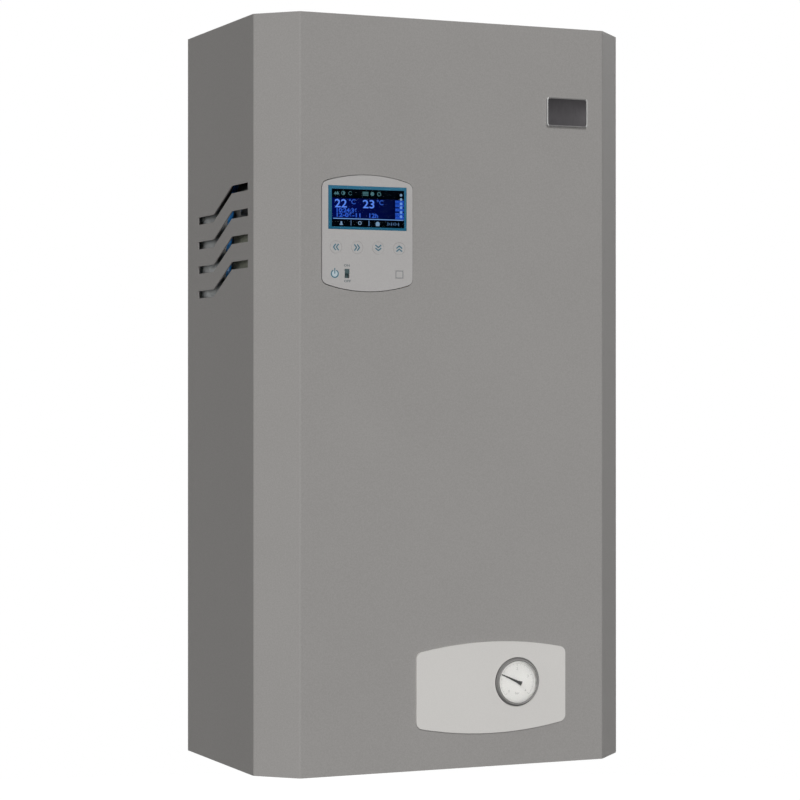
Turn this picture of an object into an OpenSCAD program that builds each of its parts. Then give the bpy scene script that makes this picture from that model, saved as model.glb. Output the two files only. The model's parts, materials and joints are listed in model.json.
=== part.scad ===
// Wall-hung electric heating boiler: casing, control panel, gauge and working parts.
// X runs to the right, Y towards the wall and Z up. Y = 0 is the wall, Z = 0 half the height.

/* [Casing] */
// Width of the casing
case_w = 400; // [390:5:480]
// Depth from the wall to the front face
case_d = 230; // [225:1:270]
// Height of the casing
case_h = 740; // [720:5:900]
// Leg of the chamfer along each front corner
chamfer = 35; // [20:1:40]
// Thickness of the cover, top and bottom sheets
sheet = 1.2; // [0.8:0.1:1.6]
// Width of the lips folded inwards at the cover's two ends
lip_w = 14; // [8:1:20]
// Gap between the cover's rear edge and the wall
wall_gap = 1; // [0.5:0.1:3]
// Gap between the cover's sides and the chassis that it slides over
slide_gap = 0.6; // [0.3:0.1:1]
// Height of the recess for the pipe ends under the bottom panel
recess_h = 30; // [28:1:45]
// Height of the top and bottom panels' skirts, both folded inwards
skirt_h = 14; // [8:1:20]

/* [Louvres] */
// Number of dog-leg slots in each side
slot_count = 4; // [1:1:6]
// Height of a slot
slot_h = 7.6; // [4:0.1:10]
// Distance between slots, and the drop along one slot
slot_pitch = 25.2; // [20:0.1:32]
// Depth of the first slot's front end below the top of the casing
slot_below_top = 166.3; // [120:0.1:200]
// Distance of the slots' front ends from the front face
slot_inset = 50.2; // [45:0.1:60]
// Length of a slot's front part
slot_front_run = 45.8; // [30:0.1:50]
// Length of a slot's rear part
slot_rear_run = 46.5; // [30:0.1:50]
// Distance of the slots' rear ends from the wall
slot_rear = 33.5; // [28:0.1:45]

/* [Control panel] */
// Width of the control panel
panel_w = 95.9; // [94:0.1:110]
// Height of the control panel in its middle
panel_h = 113.2; // [112:0.1:130]
// Rise of its bowed upper and lower edges
panel_rise = 8; // [3:0.1:9]
// Radius of its corners
panel_r = 7; // [4:0.1:10]
// Distance of its centre line from the left side
panel_from_left = 105.5; // [95:0.1:120]
// Depth of its centre below the top of the casing
panel_below_top = 212.6; // [150:0.1:240]
// Height by which it stands out of the front face
panel_proud = 0.8; // [0.4:0.1:3]
// Thickness of the panel face
panel_t = 2.5; // [2:0.1:4]
// Depth of the housing behind the front face
housing_d = 32; // [28:1:40]
// Width of the display
lcd_w = 83; // [70:0.1:84]
// Height of the display
lcd_h = 42.4; // [34:0.1:43]
// Diameter of a round key
key_d = 12; // [8:0.1:13]
// Distance between the round keys
key_pitch = 22.4; // [18:0.1:24]
// Travel of a key
key_travel = 0.5; // [0.2:0.05:1]
// Width of the square key
square_key_w = 8.3; // [6:0.1:10]
// Height of the square key
square_key_h = 7.7; // [6:0.1:10]
// Width of the slide switch's window
switch_w = 5; // [4:0.1:6]
// Height of the slide switch's window
switch_h = 8.9; // [7:0.1:11]

/* [Gauge] */
// Diameter of the gauge's bezel
bezel_d = 47.9; // [42:0.1:52]
// Height by which the bezel stands out of the gauge plate
bezel_proud = 3.2; // [2.8:0.1:6]
// Width of the plate round the gauge
gauge_plate_w = 164.6; // [140:0.1:180]
// Height of that plate in its middle
gauge_plate_h = 90.9; // [80:0.1:100]
// Rise of its bowed upper and lower edges
gauge_plate_rise = 8.7; // [4:0.1:12]
// Thickness of that plate
gauge_plate_t = 1.5; // [1:0.1:3]
// Distance of that plate's centre line right of the casing's
gauge_plate_x = 39.6; // [20:0.1:60]
// Height of its centre above the bottom of the casing
gauge_plate_up = 78.75; // [76:0.05:90]
// Distance of the gauge right of the plate's centre
gauge_dx = 28.2; // [10:0.1:45]
// Distance of the gauge above the plate's centre
gauge_dz = 4.25; // [0:0.05:12]
// Angle of the pointer at rest, anticlockwise from the right
pointer_angle = 155; // [100:1:220]

/* [Badge] */
// Width of the bare badge
badge_w = 46; // [30:0.5:60]
// Height of the bare badge
badge_h = 29; // [20:0.5:40]
// Thickness of the badge
badge_t = 2.5; // [1:0.1:4]
// Distance of its centre from the right side
badge_from_right = 76.1; // [70:0.1:100]
// Depth of its centre below the top of the casing
badge_below_top = 85; // [50:0.1:120]

/* [Heating vessel] */
// Outer radius of the vessel
vessel_r = 55; // [52:0.5:60]
// Wall of the vessel
vessel_wall = 3; // [2:0.1:5]
// Thickness of the insulating jacket
jacket_t = 20; // [12:0.5:20]
// Gap between the jacket and the left side of the casing
jacket_gap = 23.8; // [20:0.1:40]
// Gap between the jacket and the wall
jacket_back = 10; // [8:0.5:16]
// Room above the vessel for its flange, terminals and air vent
head_room = 185; // [160:1:220]
// Room between the vessel and the bottom panel
foot_room = 140; // [130:1:180]
// Radius of the heating rods
rod_r = 4.25; // [3:0.05:5]
// Radius of the circle that the heating rods stand on
rod_circle_r = 30; // [29:0.5:36]

/* [Pipes and pump] */
// Outer radius of the water pipes
pipe_r = 11; // [9:0.1:12]
// Bore radius of the water pipes
pipe_bore_r = 9.5; // [7:0.1:10.5]
// Thread radius of the pipe ends under the casing
thread_r = 13.2; // [12.5:0.1:14]
// Distance of the supply pipe right of the casing's centre line
supply_x = 5; // [3:0.5:8]
// Distance of the supply pipe from the wall
supply_back = 110; // [108:1:116]
// Distance of the return pipe and pump right of the casing's centre line
return_x = 75; // [72:1:84]
// Distance of the return pipe and pump from the wall
return_back = 70; // [64:1:72]
// Length of the pump between its two ports
pump_span = 130; // [120:1:134]
// Radius of the pump's motor
motor_r = 42; // [36:0.5:44]
// Length of the pump's motor
motor_len = 72; // [64:1:76]
// Radius of the impeller
impeller_r = 31; // [26:0.5:34]
// Number of impeller blades
blade_count = 7; // [5:1:9]
// Radius of the relief valve's knob
knob_r = 17; // [12:0.5:20]

/* [Wiring] */
// Bore radius of the cable glands
gland_bore_r = 6; // [4:0.1:7]
// Radius of the blue neutral lead
neutral_r = 3; // [2:0.1:3.5]
// Radius of the other leads
lead_r = 2.5; // [1.5:0.1:3]

/* [Wall fixing] */
// Radius of the four wall holes
wall_hole_r = 4.5; // [3:0.1:6]
// Distance of the wall holes from the casing's sides
wall_hole_side = 40; // [30:1:60]
// Distance of the wall holes from the casing's top and bottom
wall_hole_end = 50; // [40:1:90]
// Thickness of the back plate
back_t = 1.5; // [1:0.1:2]

/* [Hidden] */
$fn = 48;
over = 1;
seat_gap = 0.3;
fit_gap = 0.1;
run_gap = 0.05;
half_w = case_w / 2;
front_y = -case_d;
top_z = case_h / 2;
bottom_z = -case_h / 2;
base_z = bottom_z + recess_h;
under_z = base_z - sheet;
roof_z = top_z - sheet - seat_gap;
frame_inset = sheet + slide_gap;
corner_steps = 5;
bow_steps = 12;
colour_casing = "#93918e";

// Control panel places
panel_x = -half_w + panel_from_left;
panel_z = top_z - panel_below_top;
panel_gap = 0.6;
panel_front = front_y - panel_proud;
panel_back = panel_front + panel_t;
lcd_margin = 2.8;
lcd_dz = panel_h / 2 - panel_rise - lcd_margin - lcd_h / 2;
lcd_t = 1.5;
lcd_module_t = 6;
board_depth = 14;
board_y = front_y + board_depth;
board_t = 1.6;
lower_row_up = 17.1;
lower_row_dz = lower_row_up - panel_h / 2;
key_row_share = 0.406;
key_dz = (lcd_dz - lcd_h / 2) * (1 - key_row_share) + lower_row_dz * key_row_share;
key_gap = 0.15;
key_lip = 1.2;
key_lip_t = 1;
key_stem_r = 2;
key_cap_t = panel_t + seat_gap;
tact_h = 5;
tact_w = 6;
square_key_dx = 33.75;
switch_dx = -21.8;
switch_wall = 3;
switch_groove = 1.6;
slide_knob_h = 4.3;
slide_knob_sink = 0.2;
housing_wall = 2;
housing_inset = 2;
housing_back = front_y + housing_d;
strap_w = 60;
strap_t = 1.5;
strap_flange = 10;

// Gauge places
gauge_x = gauge_plate_x + gauge_dx;
gauge_plate_z = bottom_z + gauge_plate_up;
gauge_z = gauge_plate_z + gauge_dz;
bezel_r = bezel_d / 2;
bezel_gap = 0.55;
bezel_front = front_y - gauge_plate_t - bezel_proud;
bezel_step = 1.35;
bezel_lip = 1.6;
dial_t = 0.6;
dial_sink = 0.4;
dial_y = front_y - gauge_plate_t + dial_sink;
case_r = bezel_r - bezel_step - fit_gap;
gauge_depth = 26;
glass_t = 1;
pointer_t = 0.6;
pointer_len = 19;
pointer_tail = 5.2;
pointer_root = 2.4;
pointer_tail_w = 4.6;
pointer_tip_w = 0.7;
shaft_r = 0.8;
shaft_len = 9;
stem_r = 6;
stem_len = 9;
gauge_back = dial_y + dial_t + gauge_depth;
bracket_t = 2;
bracket_depth = 17;
bracket_y = front_y + bracket_depth;
bracket_w = 56;
bracket_foot = 20;

// Vessel places
jacket_r = vessel_r + jacket_t;
vessel_x = -half_w + jacket_gap + sheet + jacket_r;
vessel_y = -jacket_back - jacket_r;
vessel_top = top_z - head_room;
vessel_bottom = base_z + foot_room;
dish_h = 14;
jacket_head = 8;
ring_over = 13;
ring_r = vessel_r + ring_over;
ring_t = 8;
gasket_t = 2;
ring_z = vessel_top;
gasket_z = ring_z + ring_t;
flange_z = gasket_z + gasket_t;
flange_top = flange_z + ring_t;
flange_bolt_count = 6;
flange_bolt_r = 4;
flange_bolt_af = 13;
flange_bolt_circle = ring_r - flange_bolt_af / 2;
bolt_head_share = 1.3;
rod_pair = 12;
rod_count = 3;
rod_length_share = 0.65;
rod_rise = 8;
bead_r = 6;
bead_h = 6;
stud_r = 2;
stud_h = 8;
bridge_t = 1.5;
bridge_w = 6;
vent_af = 22;
vent_hex_h = 8;
vent_r = 14;
vent_h = 42;
vent_cone_h = 4;
vent_cap_r = 5;
vent_cap_h = 10;
thermostat_turn = 30;
thermostat_r = 10;
thermostat_h = 8;
blade_dx = 5;
blade_w = 6;
blade_thick = 0.8;
bridge_z = flange_top + rod_rise + bead_h + 2 * stud_h;
rod_stand_r = norm([rod_circle_r, rod_pair]);
vessel_strap_h = 20;
vessel_strap_t = 1.5;
vessel_strap_up_share = 0.68;
vessel_strap_low_share = 0.32;
vessel_strap_foot = 16;
vessel_strap_foot_dx = 40;
port_r = 16;
port_bore_r = 12;
supply_port_down = 35;
transfer_up = 70;

// Pipes and pump places
supply_y = -supply_back;
return_y = -return_back;
pipe_end_up = 2;
pipe_end_z = bottom_z + pipe_end_up;
thread_len = 22;
pipe_clear = 2;
collar_r = 15;
collar_t = 3;
nut_af = 41;
nut_h = 18;
nut_lip = 3;
pump_up = 105;
pump_z = base_z + pump_up;
volute_over = 15;
volute_r = impeller_r + volute_over;
volute_w = 34;
volute_wall = 5;
impeller_w = 14;
impeller_gap = 3;
shroud_t = 1.6;
eye_r = 13;
hub_r = 7;
blade_t = 1.8;
blade_sweep = 62;
blade_steps = 6;
spindle_r = 4;
rotor_r = 20;
rotor_len = 44;
rotor_gap = 1;
motor_flange_t = 6;
motor_flange_y = return_y - volute_w / 2;
motor_back = motor_flange_y - motor_flange_t;
motor_front = motor_back - motor_len;
motor_fin_count = 24;
motor_fin_t = 2;
motor_fin_h = 3;
motor_bearing_t = 10;
wiring_box_w = 44;
wiring_box_h = 54;
wiring_box_d = 22;
wiring_box_set = 6;
vent_plug_r = 10;
vent_plug_h = 4;
vent_recess_r = 6;
transfer_bend_r = 30;
transfer_z = vessel_bottom + transfer_up;
transfer_port_dx = 13;
transfer_port_x = supply_x - transfer_port_dx;
supply_bend_r = 24;
supply_stub = 5;
supply_port_x = supply_x - supply_bend_r - supply_stub;
supply_z = vessel_top - supply_port_down;
tee_up = 75;
tee_z = base_z + tee_up;
tee_r = 17;
tee_h = 36;
valve_dx = 45;
valve_x = supply_x - valve_dx;
valve_r = 15;
valve_branch_r = 9;
bonnet_r = 14;
bonnet_len = 30;
knob_len = 20;
knob_flutes = 8;
knob_flute_r = 3;
knob_shaft_r = 3;
knob_shaft_len = 14;
relief_r = 8;
relief_bore_r = 6.5;
relief_drop = 26;
relief_end_r = 9.5;
relief_end_len = 20;
tap_r = 5;
tap_len = 8;
capillary_r = 1.2;

// Electrical places
plate_t = 1.2;
plate_back = 22;
plate_y = -back_t - plate_back;
plate_side_gap = 12;
plate_right = half_w - plate_side_gap;
plate_left_dx = 58;
plate_left = return_x - plate_left_dx;
plate_leg_w = 66;
plate_step_x = plate_right - plate_leg_w;
plate_top_gap = 30;
plate_top = top_z - plate_top_gap;
terminal_up = 210;
terminal_z = base_z + terminal_up;
contactor_up = 320;
contactor_z = base_z + contactor_up;
plate_low_gap = 32;
plate_low = terminal_z - plate_low_gap;
plate_step_gap = 60;
plate_step_z = contactor_z + plate_step_gap;
standoff_r = 5;
pcb_side = 8;
pcb_left = plate_left + pcb_side;
pcb_right = plate_right - pcb_side;
pcb_end = 18;
pcb_top = plate_top - pcb_end;
pcb_low = plate_step_z + pcb_end;
pcb_t = 1.6;
pcb_gap = 8;
pcb_y = plate_y - plate_t - pcb_gap;
pcb_face = pcb_y - pcb_t;
spacer_r = 3;
sink_h = 56;
sink_w = 110;
sink_d = 34;
sink_base = 5;
fin_count = 12;
fin_t = 2;
relay_w = 28;
relay_h = 30;
relay_d = 16;
relay_count = 3;
relay_pitch = 36;
transformer_w = 42;
transformer_h = 36;
transformer_d = 32;
coil_share = 0.7;
capacitor_r = 6;
capacitor_len = 20;
plug_w = 6;
plug_h = 26;
plug_d = 8;
part_gap = 1;
rail_w = 35;
rail_d = 7.5;
rail_t = 1;
rail_lip = 5;
contactor_w = 45;
contactor_h = 76;
contactor_d = 70;
contactor_step = 18;
terminal_w = 8;
terminal_h = 44;
terminal_d = 40;
terminal_count = 5;
terminal_gap = 0.2;
electric_x = (plate_step_x + plate_right) / 2;
gland_r = 10;
gland_af = 24;
gland_hex_h = 5;
gland_dome_r = 11;
gland_dome_h = 16;
gland_nut_h = 5;
gland_up_h = 10;
gland_first = 36;
gland_pitch = 36;
gland_x = [half_w - gland_first - gland_pitch, half_w - gland_first];
gland_back = 60;
gland_y = -gland_back;

// Fasteners
screw_r = 2;
screw_head_r = 4;
screw_head_h = 2.6;
screw_slot_w = 1;
screw_slot_d = 1.2;
clamp_r = 2.5;
clamp_head_r = 5;
clamp_head_h = 3.5;
clamp_nut_af = 8;
clamp_nut_h = 4;
clamp_len = 15;
clamp_x = 120;
clamp_inset = 12;
lug_w = 24;
lug_d = 20;
lug_z = under_z - seat_gap;

// Screw places, shared by the holes and the screws
strap_z = [for (share = [vessel_strap_low_share, vessel_strap_up_share])
    vessel_bottom + share * (vessel_top - vessel_bottom)];
strap_screws = [for (z = strap_z, s = [-1, 1]) [vessel_x + s * vessel_strap_foot_dx, z]];
strap_screw_y = housing_back + strap_t + strap_flange;
bracket_screw_x = [panel_x - strap_w / 4, panel_x + strap_w / 4];
gauge_screw_x = [gauge_x - bracket_w / 4, gauge_x + bracket_w / 4];
gauge_screw_y = bracket_y + bracket_t + bracket_foot / 2;
standoff_at = [[plate_left + standoff_r, plate_top - standoff_r],
    [plate_right - standoff_r, plate_top - standoff_r],
    [plate_left + standoff_r, plate_step_z + standoff_r],
    [plate_right - standoff_r, plate_low + standoff_r]];

// Places shared by more than one part
rail_face = plate_y - plate_t - rail_d;
key_places = concat([for (i = [0:3]) [key_x(i), panel_z + key_dz]],
    [[panel_x + square_key_dx, panel_z + lower_row_dz]]);
rod_places = [for (k = [0:rod_count - 1], s = [-1, 1])
    let (a = 90 + 360 * k / rod_count, c = rod_circle_r, t = s * rod_pair)
    [c * cos(a) - t * sin(a), c * sin(a) + t * cos(a)]];
blade_line = [for (i = [0:blade_steps]) let (u = i / blade_steps)
    (eye_r + (impeller_r - eye_r) * u) * [cos(blade_sweep * u), sin(blade_sweep * u)]];

// Routes of the flat cable and the leads
ribbon_w = 24;
ribbon_t = 1.2;
ribbon_z = panel_z - lcd_dz / 4;
ribbon_start = [panel_x + strap_w / 2 + housing_wall + plug_w / 2, housing_back - housing_wall];
ribbon_end = [pcb_left + plug_w, pcb_face - plug_d];
phase_angle = [for (k = [0:rod_count - 1]) 90 + 360 * k / rod_count
    + atan2(rod_pair, rod_circle_r) - (k > 0 ? 360 : 0)];
phase_side = 40;
phase_entry = [phase_side, -phase_side, phase_angle[2]];
phase_out = 36;
neutral_dx = 14;
neutral_back = 18;
neutral_up = 22;
lead_aside = [0.31, 0.52, 0.79];

// Box between two places along each axis
module span(x, y, z) {
    translate([x[0], y[0], z[0]]) cube([x[1] - x[0], y[1] - y[0], z[1] - z[0]]);
}

// Round bars along X, Y and Z, each between two places and through a point across
module rod_x(r, x, at) {
    translate([x[0], at[0], at[1]]) rotate([0, 90, 0]) cylinder(r = r, h = x[1] - x[0]);
}

module rod_y(r, y, at) {
    translate([at[0], y[1], at[1]]) rotate([90, 0, 0]) cylinder(r = r, h = y[1] - y[0]);
}

module rod_z(r, z, at) {
    translate([at[0], at[1], z[0]]) cylinder(r = r, h = z[1] - z[0]);
}

// Hexagon of a given width across flats
module hex_z(af, z, at) {
    translate([at[0], at[1], z[0]]) cylinder(r = af / sqrt(3), h = z[1] - z[0], $fn = 6);
}

// Shape drawn as seen from the front, made thick along Y
module slab(y) {
    translate([0, y[1], 0]) rotate([90, 0, 0]) linear_extrude(y[1] - y[0]) children();
}

module rounded(w, h, r) {
    square([w, h - 2 * r], center = true);
    square([w - 2 * r, h], center = true);
    for (x = [-1, 1], y = [-1, 1]) translate([x * (w / 2 - r), y * (h / 2 - r)]) circle(r);
}

// Outline of the casing from above, moved inwards by a distance
module outline(inset, rear) {
    x = half_w - inset;
    y = front_y + inset;
    leg = chamfer - inset * (2 - sqrt(2));
    polygon([[-x, rear], [-x, y + leg], [leg - x, y], [x - leg, y], [x, y + leg], [x, rear]]);
}

module outline_ring(outer, inner, rear) {
    difference() {
        outline(outer, rear);
        outline(inner, over);
    }
}

// Straight sides, bowed upper and lower edges and round corners
function arc(c, r, a, b, n, skip = 0) =
    [for (i = [skip:n - skip]) c + r * [cos(a + (b - a) * i / n), sin(a + (b - a) * i / n)]];

function half_bow(w, h, rise, r) =
    let (big = (w * w / 4 + rise * rise) / (2 * rise), low = h / 2 - big, x = w / 2 - r)
    let (z = low + sqrt(pow(big - r, 2) - x * x), turn = atan2(z - low, x))
    concat(arc([x, z], r, 0, turn, corner_steps), arc([0, low], big, turn, 180 - turn, bow_steps, 1),
        arc([-x, z], r, 180 - turn, 180, corner_steps));

module bowed(w, h, rise, r) {
    upper = half_bow(w, h, rise, r);
    polygon(concat(upper, [for (p = upper) -p]));
}

// Smooth curve through the points, and the strip or round lead that follows it
function curve_at(p, u) =
    let (n = len(p) - 1, i = min(floor(u), n - 1), t = u - i)
    let (a = p[max(i - 1, 0)], b = p[i], c = p[i + 1], d = p[min(i + 2, n)])
    b + t * (c - a) / 2 + t * t * (2 * a - 5 * b + 4 * c - d) / 2
    + t * t * t * (3 * b - a - 3 * c + d) / 2;

function curve(p, steps) = [for (k = [0:(len(p) - 1) * steps]) curve_at(p, k / steps)];

function unit(v) = v / norm(v);

function heading(w, i) = unit(w[min(i + 1, len(w) - 1)] - w[max(i - 1, 0)]);

function beside(w, i, d) = w[i] + d * [-heading(w, i)[1], heading(w, i)[0]];

function strip(w, t) = concat([for (i = [0:len(w) - 1]) beside(w, i, t / 2)],
    [for (i = [len(w) - 1:-1:0]) beside(w, i, -t / 2)]);

module lead(points, r, steps = 3, sides = 8) {
    w = curve(points, steps);
    last = len(w) - 1;
    ends = [unit(points[1] - points[0]), unit(points[len(points) - 1] - points[len(points) - 2])];
    ring_points = [for (i = [0:last], j = [0:sides - 1])
        let (t = i == 0 ? ends[0] : i == last ? ends[1] : heading(w, i))
        let (u = unit(cross(t, lead_aside)), v = cross(t, u))
        w[i] + r * (cos(360 * j / sides) * u + sin(360 * j / sides) * v)];
    walls = [for (i = [0:last - 1], j = [0:sides - 1])
        let (a = i * sides + j, b = i * sides + (j + 1) % sides)
        each [[a, a + sides, b + sides], [a, b + sides, b]]];
    start = [for (j = [0:sides - 1]) j];
    end = [for (j = [sides - 1:-1:0]) last * sides + j];
    polyhedron(ring_points, concat([start, end], walls));
}

// Pan-head screw that points down, with its head's seat at zero
module screw(length) {
    difference() {
        union() {
            cylinder(r = screw_head_r, h = screw_head_h);
            translate([0, 0, -length]) cylinder(r = screw_r, h = length);
        }
        for (a = [0, 90]) rotate(a) translate([0, 0, screw_head_h]) {
            cube([screw_head_r + screw_slot_d, screw_slot_w, 2 * screw_slot_d], center = true);
        }
    }
}

// Casing

function slot_points(z) =
    let (a = front_y + slot_inset, b = a + slot_front_run, d = -slot_rear, c = d - slot_rear_run)
    let (h = slot_h / 2, low = z - slot_pitch)
    [[a, z + h], [b, z + h], [c, low + h], [d, low + h], [d, low - h], [c, low - h], [b, z - h],
        [a, z - h]];

// Bent sheet cover with its lips, louvres, openings and the two lugs for its clamp screws
module front_cover() color(colour_casing) difference() {
    union() {
        translate([0, 0, bottom_z]) linear_extrude(case_h) outline_ring(0, sheet, -wall_gap);
        for (z = [bottom_z, top_z - sheet]) translate([0, 0, z]) {
            linear_extrude(sheet) outline_ring(0, lip_w, -wall_gap);
        }
        for (x = [-clamp_x, clamp_x]) {
            span([x - lug_w / 2, x + lug_w / 2], [front_y + sheet / 2, front_y + lug_d],
                [lug_z - sheet, lug_z]);
        }
    }
    for (i = [0:slot_count - 1]) translate([-half_w - over, 0, 0]) rotate([90, 0, 90]) {
        linear_extrude(case_w + 2 * over) {
            polygon(slot_points(top_z - slot_below_top - i * slot_pitch));
        }
    }
    slab([front_y - over, front_y + sheet + over]) translate([panel_x, panel_z]) {
        bowed(panel_w + 2 * panel_gap, panel_h + 2 * panel_gap, panel_rise, panel_r + panel_gap);
    }
    rod_y(bezel_r + bezel_gap, [front_y - over, front_y + sheet + over], [gauge_x, gauge_z]);
    for (x = [-clamp_x, clamp_x]) {
        rod_z(clamp_r + fit_gap, [lug_z - sheet - over, lug_z + over], [x, front_y + clamp_inset]);
    }
}

// Bare badge with a raised rim
module badge() color("#4a4948") translate([half_w - badge_from_right, 0, top_z - badge_below_top]) {
    rim = badge_t / 2;
    difference() {
        slab([front_y - badge_t, front_y]) rounded(badge_w, badge_h, badge_t);
        slab([front_y - badge_t - over, front_y - badge_t + rim / 2]) {
            rounded(badge_w - 2 * rim, badge_h - 2 * rim, badge_t - rim / 2);
        }
    }
}

// Light plate on the cover round the gauge
module gauge_plate() color("#c7c6c4") difference() {
    slab([front_y - gauge_plate_t, front_y]) translate([gauge_plate_x, gauge_plate_z]) {
        bowed(gauge_plate_w, gauge_plate_h, gauge_plate_rise, panel_r);
    }
    rod_y(bezel_r + bezel_gap, [front_y - gauge_plate_t - over, front_y + over],
        [gauge_x, gauge_z]);
}

// Clamp screws that stay in the cover's lugs, each with its nut above the bottom panel
module cover_screws() color("silver") for (x = [-clamp_x, clamp_x]) {
    at = [x, front_y + clamp_inset];
    head_z = lug_z - sheet;
    difference() {
        rod_z(clamp_head_r, [head_z - clamp_head_h, head_z], at);
        hex_z(clamp_nut_af / 2, [head_z - clamp_head_h - over, head_z - clamp_head_h / 2], at);
    }
    rod_z(clamp_r, [head_z, head_z + clamp_len], at);
    hex_z(clamp_nut_af, [base_z + seat_gap, base_z + seat_gap + clamp_nut_h], at);
}

// Back plate with the wall holes and a stiffening flange up each side
module back_plate() color("#a3a19c") difference() {
    x = half_w - frame_inset;
    union() {
        span([-x, x], [-back_t, 0], [bottom_z + sheet + seat_gap, roof_z]);
        for (s = [-x, x - back_t]) {
            span([s, s + back_t], [-lug_d, -back_t / 2], [under_z + skirt_h, roof_z - skirt_h]);
        }
    }
    for (s = [-1, 1], t = [-1, 1]) {
        rod_y(wall_hole_r, [-back_t - over, over],
            [s * (half_w - wall_hole_side), t * (top_z - wall_hole_end)]);
    }
    for (p = strap_screws) rod_y(screw_r + fit_gap, [-back_t - over, over], p);
}

// Top panel under the cover's upper lip, with its skirt folded down
module top_panel() color(colour_casing) difference() {
    union() {
        translate([0, 0, roof_z - sheet]) linear_extrude(sheet) outline(frame_inset, -back_t);
        translate([0, 0, roof_z - skirt_h]) linear_extrude(skirt_h) {
            outline_ring(frame_inset, frame_inset + sheet, -back_t);
        }
    }
    for (x = bracket_screw_x) {
        rod_z(screw_r + fit_gap, [roof_z - sheet - over, roof_z + over], [x, strap_screw_y]);
    }
}

// Bottom panel with its skirt folded up, pipe and gland holes and notches for the clamp screws
module bottom_panel() color(colour_casing) difference() {
    z = [under_z - over, base_z + over];
    union() {
        translate([0, 0, under_z]) linear_extrude(sheet) outline(frame_inset, -back_t);
        translate([0, 0, under_z]) linear_extrude(skirt_h) {
            outline_ring(frame_inset, frame_inset + sheet, -back_t);
        }
    }
    rod_z(pipe_r + pipe_clear, z, [supply_x, supply_y]);
    rod_z(pipe_r + pipe_clear, z, [return_x, return_y]);
    rod_z(relief_r + pipe_clear, z, [valve_x, supply_y]);
    for (x = gland_x) rod_z(gland_r + fit_gap, z, [x, gland_y]);
    for (x = gauge_screw_x) rod_z(screw_r + fit_gap, z, [x, gauge_screw_y]);
    for (x = [-clamp_x, clamp_x]) {
        rod_z(clamp_r + seat_gap, z, [x, front_y + clamp_inset]);
        span([x - clamp_r - seat_gap, x + clamp_r + seat_gap],
            [front_y, front_y + clamp_inset], z);
        span([x - lug_w / 2 - over, x + lug_w / 2 + over], [front_y, front_y + 2 * frame_inset],
            [base_z, under_z + skirt_h + over]);
    }
}

// Pan-head screws of the chassis
module chassis_screws() color("silver") {
    for (p = strap_screws) translate([p[0], -back_t - vessel_strap_t, p[1]]) {
        rotate([90, 0, 0]) screw(vessel_strap_t + back_t - fit_gap);
    }
    for (p = standoff_at) translate([p[0], plate_y - plate_t, p[1]]) {
        rotate([90, 0, 0]) screw(plate_t + screw_head_r);
    }
    for (x = bracket_screw_x) translate([x, strap_screw_y, roof_z - sheet - strap_t]) {
        rotate([180, 0, 0]) screw(strap_t + sheet);
    }
    for (x = gauge_screw_x) translate([x, gauge_screw_y, base_z + bracket_t]) {
        screw(bracket_t + sheet);
    }
}

// Control panel

// Folded strap that hangs from the top panel and carries the control panel
module panel_bracket() color("#b8b8b6") difference() {
    x = [panel_x - strap_w / 2, panel_x + strap_w / 2];
    low = panel_z - panel_h / 2 + strap_flange;
    top = roof_z - sheet;
    union() {
        span(x, [housing_back, housing_back + strap_t], [low, top]);
        span(x, [housing_back, strap_screw_y + strap_flange], [top - strap_t, top]);
        for (s = [x[0], x[1] - strap_t]) {
            span([s, s + strap_t], [housing_back, housing_back + strap_flange], [low, top]);
        }
    }
    for (s = bracket_screw_x) {
        rod_z(screw_r + fit_gap, [top - strap_t - over, top + over], [s, strap_screw_y]);
    }
}

module panel_place() {
    translate([panel_x, panel_z]) children();
}

// Moulded tray that holds the display and its board
module panel_housing() color("#3b3d40") difference() {
    w = panel_w - 2 * housing_inset;
    h = panel_h - 2 * housing_inset;
    wall = 2 * housing_wall;
    slab([panel_back, housing_back]) panel_place() {
        bowed(w, h, panel_rise, panel_r - housing_inset);
    }
    slab([panel_back - over, housing_back - housing_wall]) panel_place() {
        bowed(w - wall, h - wall, panel_rise, panel_r - housing_inset - housing_wall / 2);
    }
    span([panel_x + strap_w / 2 + housing_wall, panel_x + strap_w / 2 + housing_wall + plug_w],
        [housing_back - housing_wall - over, housing_back + over],
        [ribbon_z - plug_h / 2, ribbon_z + plug_h / 2]);
}

// Face of the control panel with the openings for display, keys and switch
module control_panel() color("#a6a5a3") difference() {
    cut = [panel_front - over, panel_back + over];
    slab([panel_front, panel_back]) panel_place() bowed(panel_w, panel_h, panel_rise, panel_r);
    slab(cut) panel_place() translate([0, lcd_dz]) {
        square([lcd_w + 2 * fit_gap, lcd_h + 2 * fit_gap], center = true);
    }
    for (i = [0:3]) rod_y(key_d / 2 + key_gap, cut, [key_x(i), panel_z + key_dz]);
    slab(cut) panel_place() {
        translate([square_key_dx, lower_row_dz]) {
            square([square_key_w + 2 * key_gap, square_key_h + 2 * key_gap], center = true);
        }
        translate([switch_dx, lower_row_dz]) square([switch_w, switch_h], center = true);
    }
}

function key_x(i) = panel_x + (i - 1.5) * key_pitch;

// Clear window flush with the panel's face
module display_window() color("#3f7f9c") slab([panel_front, panel_front + lcd_t]) panel_place() {
    translate([0, lcd_dz]) square([lcd_w, lcd_h], center = true);
}

// Liquid crystal display in its metal frame, on the display board
module display_module() color("#0b1038") {
    y = panel_front + lcd_t;
    rim = housing_wall;
    slab([y, y + lcd_module_t]) panel_place() translate([0, lcd_dz]) {
        square([lcd_w - rim, lcd_h - rim], center = true);
    }
    for (s = [-1, 1], t = [-1, 1]) {
        rod_y(spacer_r, [y + lcd_module_t, board_y], [panel_x + s * (lcd_w / 2 - 2 * spacer_r),
            panel_z + lcd_dz + t * (lcd_h / 2 - 2 * spacer_r)]);
    }
}

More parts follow.
